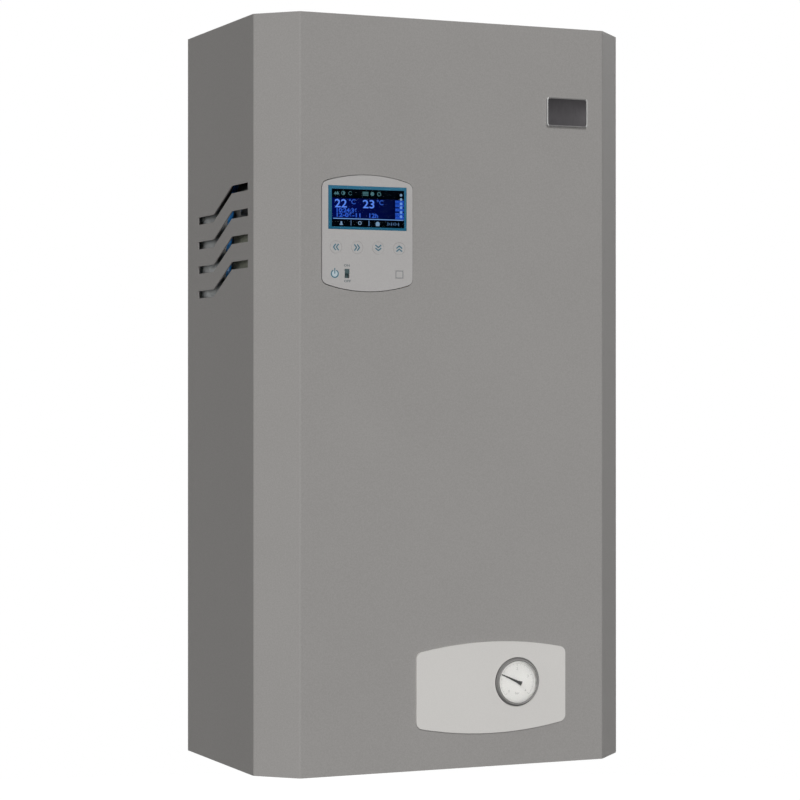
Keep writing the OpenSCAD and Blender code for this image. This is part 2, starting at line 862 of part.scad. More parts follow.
// Circuit board behind the panel with one small push switch behind each key
module display_board() color("#1f5c36") {
    inset = housing_inset + housing_wall + seat_gap;
    w = panel_w - 2 * inset;
    h = panel_h - 2 * inset;
    slab([board_y, board_y + board_t]) panel_place() {
        bowed(w, h, panel_rise, panel_r - inset + housing_wall / 2);
    }
    for (p = key_places) {
        slab([board_y - tact_h / 2, board_y]) translate(p) square(tact_w, center = true);
        rod_y(key_stem_r, [board_y - tact_h, board_y - tact_h / 2], p);
    }
    for (s = [-1, 1], t = [-1, 1]) {
        rod_y(spacer_r, [board_y + board_t, housing_back - housing_wall],
            [panel_x + s * (w / 2 - 2 * spacer_r), panel_z + t * (h / 2 - panel_rise - 2 * spacer_r)]);
    }
}

// Back of a key: retaining lip and the stem that presses the switch
module key_back(at) {
    y = panel_front + key_cap_t;
    rod_y(key_stem_r, [y + key_lip_t, board_y - tact_h - key_travel - fit_gap], at);
}

module round_key(i) color("#a6a5a3") {
    y = panel_front + key_cap_t;
    rod_y(key_d / 2, [panel_front, y], key_places[i]);
    rod_y(key_d / 2 + key_lip, [y, y + key_lip_t], key_places[i]);
    key_back(key_places[i]);
}

module left_key() round_key(0);

module right_key() round_key(1);

module down_key() round_key(2);

module up_key() round_key(3);

module square_key() color("#a6a5a3") {
    y = panel_front + key_cap_t;
    slab([panel_front, y]) translate(key_places[4]) {
        square([square_key_w, square_key_h], center = true);
    }
    slab([y, y + key_lip_t]) translate(key_places[4]) {
        square([square_key_w + 2 * key_lip, square_key_h + 2 * key_lip], center = true);
    }
    key_back(key_places[4]);
}

// Body of the slide switch behind the panel, with the groove that its knob runs in
module switch_body() color("#1c1d1f") {
    front = panel_back + fit_gap;
    slab([front + switch_groove, board_y]) panel_place() translate([switch_dx, lower_row_dz]) {
        square([switch_w + 2 * switch_wall, switch_h + 2 * switch_wall], center = true);
    }
    slab([front, front + switch_groove]) panel_place() translate([switch_dx, lower_row_dz]) {
        difference() {
            square([switch_w + 2 * switch_wall, switch_h + 2 * switch_wall], center = true);
            square([switch_w, switch_h], center = true);
        }
    }
}

// Knob of the slide switch, at its upper end, where the boiler is on
module switch_knob() color("#141516") {
    w = switch_w - 2 * key_gap;
    front = panel_front + slide_knob_sink;
    x = panel_x + switch_dx;
    z = panel_z + lower_row_dz + switch_h / 2 - key_gap;
    difference() {
        span([x - w / 2, x + w / 2], [front, panel_back + switch_groove], [z - slide_knob_h, z]);
        for (s = [1:3]) {
            span([x - w, x + w], [front - over, front + slide_knob_sink],
                [z - s * slide_knob_h / 4 - key_gap, z - s * slide_knob_h / 4 + key_gap]);
        }
    }
}

// Flat cable from the control panel to the power board
module ribbon_cable() color("#8e8e90") translate([0, 0, ribbon_z - ribbon_w / 2]) {
    start = ribbon_start;
    end = ribbon_end;
    side_x = end[0];
    linear_extrude(ribbon_w) polygon(strip(curve([start, start + [0, plug_d],
        start + [plug_d, 2 * plug_d], [supply_x, supply_y - 2 * supply_bend_r],
        [side_x - plug_d, supply_y - supply_bend_r],
        [side_x, supply_y / 2 + end[1] / 2], end - [0, plug_d], end], 4), ribbon_t));
}

// Gauge

module gauge_axis() {
    translate([gauge_x, 0, gauge_z]) rotate([90, 0, 0]) children();
}

// Case of the pressure gauge with its threaded stem
module gauge_case() color("#5b5c5e") difference() {
    union() {
        rod_y(case_r, [dial_y + dial_t, gauge_back], [gauge_x, gauge_z]);
        rod_y(stem_r, [gauge_back, gauge_back + stem_len], [gauge_x, gauge_z]);
        gauge_axis() translate([0, 0, -gauge_back - stem_len / 2]) {
            cylinder(r = stem_r + stem_r / 3, h = stem_len / 2, $fn = 6);
        }
    }
    rod_y(shaft_r + run_gap, [dial_y, dial_y + dial_t + shaft_len], [gauge_x, gauge_z]);
}

// Turned bezel: outer flange, raised ring and the lip that holds the glass
module gauge_bezel() color("#7b7a78") gauge_axis() rotate_extrude() {
    front = -bezel_front;
    step = front - bezel_proud / 2;
    root = -front_y - sheet;
    inner = case_r + fit_gap;
    lip = inner - bezel_lip;
    polygon([[inner, root], [bezel_r, root], [bezel_r, step - bezel_step / 2],
        [bezel_r - bezel_step / 2, step], [inner + bezel_step / 3, step],
        [inner + bezel_step / 3, front - bezel_step / 3], [inner, front],
        [lip + bezel_step / 3, front], [lip, front - bezel_step / 3],
        [lip, front - bezel_step / 2], [inner, front - bezel_step / 2]]);
}

// White dial
module gauge_dial() color("#dedddb") difference() {
    rod_y(case_r, [dial_y, dial_y + dial_t], [gauge_x, gauge_z]);
    rod_y(shaft_r + seat_gap, [dial_y - over, dial_y + dial_t + over], [gauge_x, gauge_z]);
}

// Flat glass under the bezel's lip
module gauge_glass() color("#d6dde0", 0.3) {
    y = bezel_front + bezel_step / 2;
    rod_y(case_r, [y, y + glass_t], [gauge_x, gauge_z]);
}

// Pointer with its flared tail and shaft
module gauge_pointer() color("#141414") {
    back = dial_y - seat_gap;
    gauge_axis() translate([0, 0, -back]) linear_extrude(pointer_t) rotate(pointer_angle) {
        polygon([[pointer_len, pointer_tip_w / 2], [0, pointer_root / 2],
            [-pointer_tail, pointer_tail_w / 2], [-pointer_tail, -pointer_tail_w / 2],
            [0, -pointer_root / 2], [pointer_len, -pointer_tip_w / 2]]);
    }
    rod_y(shaft_r, [back - pointer_t, dial_y + dial_t + shaft_len - seat_gap], [gauge_x, gauge_z]);
}

// Angle bracket from the bottom panel to the gauge
module gauge_bracket() color("#b8b8b6") difference() {
    x = [gauge_x - bracket_w / 2, gauge_x + bracket_w / 2];
    top = gauge_z + bezel_r + bracket_t;
    union() {
        span(x, [bracket_y, bracket_y + bracket_t], [base_z, top]);
        span(x, [bracket_y, bracket_y + bracket_t + bracket_foot], [base_z, base_z + bracket_t]);
    }
    rod_y(case_r + fit_gap, [bracket_y - over, bracket_y + bracket_t + over],
        [gauge_x, gauge_z]);
    for (s = gauge_screw_x) {
        rod_z(screw_r + fit_gap, [base_z - over, base_z + bracket_t + over], [s, gauge_screw_y]);
    }
}

// Thin copper tube from the tapping on the supply pipe to the gauge
module gauge_capillary() color("#b87245") {
    tap = [supply_x, supply_y - tee_r - tap_len, tee_z];
    end = [gauge_x, gauge_back + stem_len, gauge_z];
    mid = (tap + end) / 2;
    lead([end, end + [0, stem_r, 0], [gauge_x - 2 * stem_r, end[1] + 2 * stem_r, gauge_z],
        [mid[0], end[1] + 3 * stem_r, mid[2] - stem_r], [supply_x + stem_r, tap[1] - 4 * stem_r, tee_z],
        tap - [0, stem_r, 0], tap], capillary_r, 3, 6);
}

// Heating vessel

module vessel_place() {
    translate([vessel_x, vessel_y, 0]) children();
}

function vessel_outline(r, low) = concat([[0, ring_z], [0, low]],
    [for (i = [1:corner_steps]) let (a = 90 * i / corner_steps)
        [r * sin(a), low + dish_h * (1 - cos(a))]], [[r, ring_z]]);

// Port tubes of the vessel along X: the supply outlet above and the return inlet below
module vessel_ports(supply_r, transfer_r, grow) {
    x = vessel_x + vessel_r / 2;
    rod_x(supply_r, [x, supply_port_x + grow], [supply_y, supply_z]);
    rod_x(transfer_r, [x, transfer_port_x + grow], [return_y, transfer_z]);
}

// Steel vessel with its dished bottom, flange ring and two side ports
module heating_vessel() color("#7d7f82") difference() {
    union() {
        vessel_place() rotate_extrude() polygon(vessel_outline(vessel_r, vessel_bottom));
        vessel_place() rod_z(ring_r, [ring_z, ring_z + ring_t], [0, 0]);
        vessel_ports(pipe_r + pipe_clear, port_r, 0);
    }
    vessel_place() rotate_extrude() {
        polygon(vessel_outline(vessel_r - vessel_wall, vessel_bottom + vessel_wall));
    }
    vessel_place() rod_z(vessel_r - vessel_wall, [ring_z - over, ring_z + ring_t + over], [0, 0]);
    vessel_ports(pipe_bore_r, port_bore_r, over);
    flange_holes([ring_z - over, ring_z + ring_t + over]);
}

module flange_holes(z) {
    for (i = [0:flange_bolt_count - 1]) vessel_place() rotate(360 * i / flange_bolt_count) {
        rod_z(flange_bolt_r + fit_gap, z, [flange_bolt_circle, 0]);
    }
}

// Insulating jacket round the vessel
module vessel_jacket() color("#4a4b42") difference() {
    low = vessel_bottom + dish_h;
    vessel_place() rod_z(jacket_r, [low, ring_z - jacket_head], [0, 0]);
    vessel_place() rod_z(vessel_r + fit_gap, [low - over, ring_z + over], [0, 0]);
    for (p = [[supply_y, supply_z], [return_y, transfer_z]]) {
        rod_x(port_r + fit_gap, [vessel_x, vessel_x + jacket_r + over], p);
    }
}

// Two bands round the jacket, with feet on the back plate
module vessel_straps() color("#b8b8b6") for (z = strap_z) {
    h = vessel_strap_h / 2;
    r = jacket_r + fit_gap + vessel_strap_t;
    difference() {
        union() {
            vessel_place() rod_z(r, [z - h, z + h], [0, 0]);
            span([vessel_x - vessel_strap_foot_dx - vessel_strap_foot / 2,
                vessel_x + vessel_strap_foot_dx + vessel_strap_foot / 2],
                [-back_t - vessel_strap_t, -back_t], [z - h, z + h]);
            for (s = [-1, 1]) {
                x = vessel_x + s * (vessel_strap_foot_dx - vessel_strap_foot / 2);
                span([x - vessel_strap_t / 2, x + vessel_strap_t / 2],
                    [vessel_y + r / 2, -back_t], [z - h, z + h]);
            }
        }
        vessel_place() rod_z(jacket_r + fit_gap, [z - h - over, z + h + over], [0, 0]);
        for (p = strap_screws) rod_y(screw_r + fit_gap, [-back_t - jacket_back, over], p);
    }
}

module flange_gasket() color("#2b2b2b") difference() {
    vessel_place() rod_z(ring_r, [gasket_z, flange_z], [0, 0]);
    vessel_place() rod_z(vessel_r - vessel_wall, [gasket_z - over, flange_z + over], [0, 0]);
    flange_holes([gasket_z - over, flange_z + over]);
}

// Flange plate that closes the vessel and carries the heating rods
module heater_flange() color("#96989b") difference() {
    vessel_place() rod_z(ring_r, [flange_z, flange_top], [0, 0]);
    for (p = rod_places) vessel_place() {
        rod_z(rod_r + fit_gap, [flange_z - over, flange_top + over], p);
    }
    flange_holes([flange_z - over, flange_top + over]);
}

// Six bolts, each with its head on the flange and its end below the ring
module flange_bolts() color("silver") {
    for (i = [0:flange_bolt_count - 1]) vessel_place() rotate(360 * i / flange_bolt_count) {
        at = [flange_bolt_circle, 0];
        head = flange_bolt_r * bolt_head_share;
        rod_z(flange_bolt_r, [ring_z - head, flange_top], at);
        hex_z(flange_bolt_af, [flange_top, flange_top + head], at);
    }
}

// Three hairpin heating rods with their insulating beads and terminal studs
module heating_rods() color("#8a8580") vessel_place() for (k = [0:rod_count - 1]) {
    rotate(90 + 360 * k / rod_count) {
        low = flange_z - rod_length_share * (vessel_top - vessel_bottom);
        top = flange_top + rod_rise;
        for (s = [-1, 1]) {
            at = [rod_circle_r, s * rod_pair];
            rise = s < 0 ? 2 * stud_h : stud_h;
            rod_z(rod_r, [low, top], at);
            rod_z(bead_r, [top, top + bead_h], at);
            rod_z(stud_r, [top, top + bead_h + rise], at);
        }
        translate([rod_circle_r, 0, low]) rotate([90, 0, 90]) rotate(180) {
            rotate_extrude(angle = 180) translate([rod_pair, 0]) circle(rod_r);
        }
    }
}

// Ring of copper that joins the three neutral studs
module terminal_bridge() color("#b87245") vessel_place() difference() {
    rod_z(rod_stand_r + bridge_w / 2, [bridge_z, bridge_z + bridge_t], [0, 0]);
    rod_z(rod_stand_r - bridge_w / 2, [bridge_z - over, bridge_z + bridge_t + over], [0, 0]);
}

// Automatic air vent on the flange
module air_vent() color("#c2a35c") vessel_place() {
    body_z = flange_top + vent_hex_h;
    cap_z = body_z + vent_h;
    hex_z(vent_af, [flange_top, body_z], [0, 0]);
    rod_z(vent_r, [body_z, cap_z], [0, 0]);
    translate([0, 0, cap_z]) cylinder(r1 = vent_r, r2 = 2 * vent_cap_r, h = vent_cone_h);
    rod_z(vent_cap_r, [cap_z, cap_z + vent_cap_h], [0, 0]);
}

// Clip-on limit thermostat with its two blade terminals
module limit_thermostat() color("#26272a") vessel_place() rotate(thermostat_turn) {
    at = [rod_circle_r + thermostat_r / 2, 0];
    rod_z(thermostat_r, [flange_top, flange_top + thermostat_h], at);
    for (s = [-1, 1]) {
        span([at[0] - blade_w / 2, at[0] + blade_w / 2],
            [s * blade_dx - blade_thick / 2, s * blade_dx + blade_thick / 2],
            [flange_top + thermostat_h, flange_top + 2 * thermostat_h]);
    }
}

// Pipes

// Quarter bend in the XZ plane round a centre, from one angle to the next quarter
module quarter_bend(centre, bend_r, r, a) {
    translate(centre) rotate([90, 0, 0]) rotate(a) {
        rotate_extrude(angle = 90) translate([bend_r, 0]) circle(r);
    }
}

module supply_path(r, extra) {
    c = [supply_port_x + supply_stub, supply_y, supply_z - supply_bend_r];
    rod_x(r, [supply_port_x - extra, c[0]], [supply_y, supply_z]);
    quarter_bend(c, supply_bend_r, r, 0);
    rod_z(r, [pipe_end_z - extra, c[2]], [supply_x, supply_y]);
}

// Supply pipe from the top of the vessel down to its threaded end
module supply_pipe() color("#b87245") difference() {
    union() {
        supply_path(pipe_r, 0);
        rod_z(thread_r, [pipe_end_z, pipe_end_z + thread_len], [supply_x, supply_y]);
    }
    supply_path(pipe_bore_r, over);
}

// Return pipe from its threaded end up to the pump
module return_pipe() color("#b87245") difference() {
    top = pump_z - pump_span / 2;
    at = [return_x, return_y];
    union() {
        rod_z(pipe_r, [pipe_end_z, top], at);
        rod_z(thread_r, [pipe_end_z, pipe_end_z + thread_len], at);
        rod_z(collar_r, [top - collar_t, top], at);
    }
    rod_z(pipe_bore_r, [pipe_end_z - over, top + over], at);
}

module transfer_path(r, extra) {
    low = pump_z + pump_span / 2;
    c = [return_x - transfer_bend_r, return_y, transfer_z - transfer_bend_r];
    rod_z(r, [low - extra, c[2]], [return_x, return_y]);
    quarter_bend(c, transfer_bend_r, r, 0);
    rod_x(r, [transfer_port_x - extra, c[0]], [return_y, transfer_z]);
}

// Pipe from the pump to the vessel
module transfer_pipe() color("#b87245") difference() {
    low = pump_z + pump_span / 2;
    union() {
        transfer_path(pipe_r, 0);
        rod_z(collar_r, [low, low + collar_t], [return_x, return_y]);
        rod_x(collar_r, [transfer_port_x, transfer_port_x + collar_t], [return_y, transfer_z]);
    }
    transfer_path(pipe_bore_r, over);
}

// Union nut with its threaded end towards the port
module union_nut() {
    difference() {
        hex_z(nut_af, [-collar_t - nut_lip, nut_h - collar_t - nut_lip], [0, 0]);
        rod_z(port_r + fit_gap, [-collar_t, nut_h], [0, 0]);
        rod_z(pipe_r + fit_gap, [-nut_h, nut_h], [0, 0]);
    }
}

module union_nuts() color("#c2a35c") {
    translate([return_x, return_y, pump_z - pump_span / 2]) union_nut();
    translate([return_x, return_y, pump_z + pump_span / 2]) mirror([0, 0, 1]) union_nut();
    translate([transfer_port_x, return_y, transfer_z]) rotate([0, -90, 0]) union_nut();
}

// Pump

module pump_axis() {
    translate([return_x, 0, pump_z]) rotate([90, 0, 0]) children();
}

// Cast volute with its two ports and the chamber for the impeller
module pump_volute() color("#3a3d40") difference() {
    back = return_y + volute_w / 2;
    at = [return_x, pump_z];
    chamber = [motor_flange_y - over, back - volute_wall];
    union() {
        rod_y(volute_r, [motor_flange_y, back], at);
        rod_z(port_r, [pump_z - pump_span / 2, pump_z + pump_span / 2], [return_x, return_y]);
        for (a = [45:90:315]) {
            rod_y(port_r / 2, [motor_flange_y, return_y], at + volute_r * [cos(a), sin(a)]);
        }
    }
    rod_y(impeller_r + impeller_gap, chamber, at);
    for (s = [-1, 1]) translate([return_x, return_y, pump_z]) mirror([0, 0, s < 0 ? 1 : 0]) {
        rod_z(port_bore_r, [impeller_r, pump_span], [0, 0]);
    }
}

// Wet-rotor motor with its cooling ribs, wiring box and front plug
module pump_motor() color("#50555a") difference() {
    at = [return_x, pump_z];
    rotor_end = motor_back - motor_bearing_t - rotor_len - 2 * rotor_gap;
    union() {
        rod_y(volute_r, [motor_back, motor_flange_y], at);
        rod_y(motor_r, [motor_front, motor_back], at);
        rod_y(vent_plug_r, [motor_front - vent_plug_h, motor_front], at);
        pump_axis() for (i = [0:motor_fin_count - 1]) rotate(360 * i / motor_fin_count) {
            span([motor_r - over, motor_r + motor_fin_h], [-motor_fin_t / 2, motor_fin_t / 2],
                [-motor_back - over, -motor_front - motor_fin_h]);
        }
        span([return_x + motor_r / 2, return_x + motor_r + wiring_box_d],
            [motor_front + wiring_box_set, motor_front + wiring_box_set + wiring_box_w],
            [pump_z - wiring_box_h / 2, pump_z + wiring_box_h / 2]);
    }
    rod_y(spindle_r + run_gap, [motor_back - motor_bearing_t - over, motor_flange_y + over], at);
    rod_y(rotor_r + rotor_gap, [rotor_end, motor_back - motor_bearing_t], at);
    rod_y(vent_recess_r, [motor_front - vent_plug_h - over, motor_front - vent_plug_h / 2], at);
}

// Impeller with curved blades between two shrouds, on the motor's shaft and rotor
module pump_impeller() color("#c9b48a") {
    at = [return_x, pump_z];
    face = return_y + impeller_w / 2;
    rear = return_y - impeller_w / 2;
    rotor = motor_back - motor_bearing_t - rotor_gap;
    rod_y(impeller_r, [rear, rear + shroud_t], at);
    difference() {
        rod_y(impeller_r, [face - shroud_t, face], at);
        rod_y(eye_r, [face - shroud_t - over, face + over], at);
    }
    pump_axis() translate([0, 0, -face + shroud_t / 2]) linear_extrude(impeller_w - shroud_t) {
        for (i = [0:blade_count - 1]) rotate(360 * i / blade_count) {
            polygon(strip(blade_line, blade_t));
        }
    }
    rod_y(hub_r, [rear, face - shroud_t], at);
    rod_y(spindle_r, [rotor, rear + shroud_t / 2], at);
    rod_y(rotor_r, [rotor - rotor_len, rotor], at);
}

// Relief valve

// Brass tee on the supply pipe with the relief valve on its branch and a tapping for the gauge
module relief_valve() color("#c2a35c") difference() {
    bonnet = valve_x - valve_r;
    union() {
        rod_z(tee_r, [tee_z - tee_h / 2, tee_z + tee_h / 2], [supply_x, supply_y]);
        rod_x(valve_branch_r, [valve_x, supply_x], [supply_y, tee_z]);
        rod_z(valve_r, [tee_z - relief_drop, tee_z + valve_r], [valve_x, supply_y]);
        rod_x(bonnet_r, [bonnet - bonnet_len + valve_r, valve_x], [supply_y, tee_z]);
        rod_x(knob_shaft_r, [bonnet - bonnet_len + valve_r - knob_shaft_len, valve_x],
            [supply_y, tee_z]);
        rod_y(tap_r, [supply_y - tee_r - tap_len, supply_y], [supply_x, tee_z]);
    }
    rod_z(pipe_r + fit_gap, [tee_z - tee_h, tee_z + tee_h], [supply_x, supply_y]);
}

// Fluted knob that lifts the relief valve
module relief_knob() color("#b3261e") translate([valve_x - bonnet_len, supply_y, tee_z]) {
    rotate([0, -90, 0]) difference() {
        translate([0, 0, seat_gap]) cylinder(r = knob_r, h = knob_len);
        cylinder(r = knob_shaft_r + run_gap, h = knob_shaft_len + seat_gap);
        for (i = [0:knob_flutes - 1]) rotate(360 * i / knob_flutes) {
            translate([knob_r + knob_flute_r / 3, 0, 0]) {
                cylinder(r = knob_flute_r, h = knob_len + over);
            }
        }
    }
}

// Relief pipe down through the bottom panel
module relief_pipe() color("#b87245") difference() {
    union() {
        rod_z(relief_r, [pipe_end_z, tee_z - relief_drop], [valve_x, supply_y]);
        rod_z(relief_end_r, [pipe_end_z, pipe_end_z + relief_end_len], [valve_x, supply_y]);
    }
    rod_z(relief_bore_r, [pipe_end_z - over, tee_z - relief_drop + over], [valve_x, supply_y]);
}

// Electrical parts

// Plate on four standoffs that carries the electrical parts
module mounting_plate() color("#b8b8b6") difference() {
    y = [plate_y - plate_t, plate_y];
    union() {
        slab(y) polygon([[plate_left, plate_top], [plate_right, plate_top],
            [plate_right, plate_low], [plate_step_x, plate_low], [plate_step_x, plate_step_z],
            [plate_left, plate_step_z]]);
        for (p = standoff_at) rod_y(standoff_r, [plate_y, -back_t], p);
    }
    for (p = standoff_at) {
        rod_y(screw_r + fit_gap, [plate_y - plate_t - over, plate_y + screw_head_r], p);
    }
}

// Power board on its spacers
module power_board() color("#1f5c36") {
    slab([pcb_face, pcb_y]) {
        polygon([[pcb_left, pcb_low], [pcb_right, pcb_low], [pcb_right, pcb_top],
            [pcb_left, pcb_top]]);
    }
    for (x = [pcb_left + 2 * spacer_r, pcb_right - 2 * spacer_r],
        z = [pcb_low + 2 * spacer_r, pcb_top - 2 * spacer_r]) {
        rod_y(spacer_r, [pcb_y, plate_y - plate_t], [x, z]);
    }
}

// Relays, transformer, capacitors and the plug of the flat cable, each a solid of its own
module board_parts() color("#2d3338") {
    relay_z = pcb_top - sink_h - relay_h;
    for (i = [0:relay_count - 1]) {
        x = pcb_left + capacitor_len + i * relay_pitch;
        span([x, x + relay_w], [pcb_face - relay_d, pcb_face], [relay_z, relay_z + relay_h - part_gap]);
    }
    right = pcb_right - capacitor_r;
    part_z = relay_z - transformer_h - capacitor_r;
    span([right - transformer_w, right], [pcb_face - transformer_d * coil_share, pcb_face],
        [part_z, part_z + transformer_h]);
    for (i = [0:2]) {
        rod_y(capacitor_r, [pcb_face - capacitor_len, pcb_face],
            [right - transformer_w - (2 * i + 2) * (capacitor_r + part_gap), part_z + capacitor_r]);
    }
    span([ribbon_end[0] - plug_w / 2, ribbon_end[0] + plug_w / 2],
        [pcb_face - plug_d, pcb_face], [ribbon_z - plug_h / 2, ribbon_z + plug_h / 2]);
}

// Finned aluminium heat sink of the power switches
module heat_sink() color("#b9bcc0") {
    x = (pcb_left + pcb_right - sink_w) / 2;
    z = pcb_top - sink_h;
    pitch = (sink_w - fin_t) / (fin_count - 1);
    span([x, x + sink_w], [pcb_face - sink_base, pcb_face], [z, z + sink_h]);
    for (i = [0:fin_count - 1]) {
        span([x + i * pitch, x + i * pitch + fin_t], [pcb_face - sink_d, pcb_face - sink_base / 2],
            [z, z + sink_h]);
    }
}

// Two top-hat rails
module din_rails() color("#c4c5c3") for (z = [contactor_z, terminal_z]) {
    x = [plate_step_x + part_gap, plate_right - part_gap];
    y = plate_y - plate_t;
    well = rail_w / 2 - rail_lip;
    span(x, [y - rail_t, y], [z - well, z + well]);
    for (s = [-1, 1]) {
        wall = s * (well - rail_t / 2);
        span(x, [y - rail_d, y], [z + wall - rail_t / 2, z + wall + rail_t / 2]);
        edge = s * (well + rail_lip / 2);
        span(x, [y - rail_d, y - rail_d + rail_t], [z + edge - rail_lip / 2 - rail_t / 2,
            z + edge + rail_lip / 2 + rail_t / 2]);
    }
}

// Contactor with its stepped body and two rows of terminal screws
module contactor() color("#2a2d31") difference() {
    x = [electric_x - contactor_w / 2, electric_x + contactor_w / 2];
    h = contactor_h / 2;
    z = contactor_z;
    union() {
        span(x, [rail_face - contactor_d / 2, rail_face], [z - h, z + h]);
        span(x, [rail_face - contactor_d, rail_face],
            [z - h + contactor_step, z + h - contactor_step]);
    }
    for (i = [-1, 0, 1], s = [-1, 1]) {
        rod_y(screw_head_r, [rail_face - contactor_d / 2 - over,
            rail_face - contactor_d / 2 + screw_head_h],
            [electric_x + i * contactor_w / 3, z + s * (h - contactor_step / 2)]);
    }
}

// Row of supply terminals
module terminal_block() color("#8f9296") for (i = [0:terminal_count - 1]) {
    x = electric_x + (i - terminal_count / 2) * terminal_w + terminal_gap / 2;
    h = terminal_h / 2;
    difference() {
        span([x, x + terminal_w - terminal_gap], [rail_face - terminal_d, rail_face],
            [terminal_z - h, terminal_z + h]);
        for (s = [-1, 1]) {
            rod_y(screw_r, [rail_face - terminal_d - over, rail_face - terminal_d + terminal_w],
                [x + terminal_w / 2 - terminal_gap / 2, terminal_z + s * h / 2]);
            span([x - over, x + terminal_w], [rail_face - terminal_d - over,
                rail_face - terminal_d * coil_share], [terminal_z + s * h - terminal_w / 2,
                terminal_z + s * h + terminal_w / 2]);
        }
    }
}

// Two cable glands with their lock nuts inside
module cable_glands() color("#2e3033") for (x = gland_x) difference() {
    at = [x, gland_y];
    hex_end = under_z - gland_hex_h;
    union() {
        rod_z(gland_r, [hex_end, base_z + gland_up_h], at);
        hex_z(gland_af, [hex_end, under_z], at);
        rod_z(gland_dome_r, [hex_end - gland_dome_h * coil_share, hex_end], at);
        translate([x, gland_y, hex_end - gland_dome_h]) {
            cylinder(r1 = gland_dome_r * coil_share, r2 = gland_dome_r,
                h = gland_dome_h * (1 - coil_share));
        }
        hex_z(gland_af, [base_z, base_z + gland_nut_h], at);
    }
    rod_z(gland_bore_r, [bottom_z, base_z + gland_up_h + over], at);
}

// Leads

// Blue neutral lead: from the supply terminals along the bottom and up behind the vessel
module neutral_lead() color("#2f6fb0") {
    x0 = electric_x - 2 * terminal_w;
    y0 = rail_face - terminal_d / 2;
    z0 = terminal_z - terminal_h / 2 - seat_gap;
    side_x = vessel_x - jacket_r + neutral_dx;
    back_y = -back_t - neutral_back;
    low_z = base_z + neutral_up;
    bend = 5 * neutral_r;
    top = bridge_z + bridge_t + neutral_r;
    lead([[x0, y0, z0], [x0, y0, z0 - bend], [x0 - bend / 2, y0 + bend, z0 - 5 * bend],
        [x0 - bend, back_y, low_z + 2 * bend], [x0 - 3 * bend, back_y, low_z],
        [return_x, back_y, low_z], [vessel_x, back_y, low_z],
        [side_x + 2 * bend, back_y, low_z], [side_x, back_y, low_z + 2 * bend],
        [side_x, back_y, vessel_bottom], [side_x, back_y, (vessel_bottom + vessel_top) / 2],
        [side_x, back_y, vessel_top - bend], [side_x + bend / 2, back_y - bend, top - bend / 2],
        [vessel_x - rod_stand_r - bend, vessel_y + bend / 2, top],
        [vessel_x - rod_stand_r, vessel_y, top]], neutral_r, 3);
}

// Three phase leads from the relays, round the air vent and in to the low studs under the bridge
module phase_leads() color("#1d1d1f") for (i = [0:rod_count - 1]) {
    target = [0, 2, 1][i];
    in_angle = phase_angle[target];
    turn = phase_entry[target] - in_angle;
    x = pcb_left + capacitor_len + i * relay_pitch + relay_w / 2;
    z = pcb_top - sink_h - relay_h / 2;
    start = [x, pcb_face - relay_d, z];
    run_y = start[1] - 4 * lead_r - 3 * i * lead_r;
    stud_z = flange_top + rod_rise + bead_h + lead_r + fit_gap;
    round = [for (q = [0:2]) [rod_stand_r + phase_out * (1 - q / 4), in_angle + turn * (1 - q / 2),
        z + (stud_z - z) * (q / 2)]];
    lead(concat([start, start - [0, 2 * lead_r, 0], [x - 4 * lead_r, run_y, z],
        [pcb_left, run_y, z], [supply_x, run_y, z]],
        [for (p = round) [vessel_x + p[0] * cos(p[1]), vessel_y + p[0] * sin(p[1]), p[2]]],
        [for (r = [rod_stand_r + 4 * lead_r, rod_stand_r + stud_r])
            [vessel_x + r * cos(in_angle), vessel_y + r * sin(in_angle), stud_z]]), lead_r, 3, 6);
}

// Three short leads from the supply terminals to the contactor
module contactor_leads() color("#5a3b2a") for (i = [-1, 0, 1]) {
    low = [electric_x + (i + 0.5) * terminal_w, rail_face - terminal_d / 2, terminal_z + terminal_h / 2];
    high = [electric_x + i * contactor_w / 3, low[1], contactor_z - contactor_h / 2];
    rise = [0, 0, (high[2] - low[2]) / 4];
    lead([low, low + rise, high - rise, high], lead_r, 3, 6);
}

front_cover();
badge();
gauge_plate();
cover_screws();
back_plate();
top_panel();
bottom_panel();
chassis_screws();
panel_bracket();
panel_housing();
control_panel();
display_window();
display_module();
display_board();
left_key();
right_key();
down_key();
up_key();
square_key();
switch_body();
switch_knob();
ribbon_cable();
gauge_case();
gauge_bezel();
gauge_dial();
gauge_glass();
gauge_pointer();
gauge_bracket();
gauge_capillary();
heating_vessel();
vessel_jacket();
vessel_straps();
flange_gasket();
heater_flange();
flange_bolts();
heating_rods();
terminal_bridge();
air_vent();
limit_thermostat();
supply_pipe();
return_pipe();
transfer_pipe();
union_nuts();
pump_volute();
pump_motor();
pump_impeller();
relief_valve();
relief_knob();
relief_pipe();
mounting_plate();
power_board();
board_parts();
heat_sink();
din_rails();
contactor();
terminal_block();
cable_glands();
neutral_lead();
phase_leads();
contactor_leads();
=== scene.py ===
# %% [markdown]
# An electric heating boiler
#
# The boiler hangs on a wall: a bent steel cover with chamfered corners, a control
# panel with a lit display, a pressure gauge on a light plate, and the water and
# electrical parts inside. The rigid parts come from the CAD model. This script
# gives every part its finish, adds what is printed, lit or rounded, and sets the
# light and the camera.

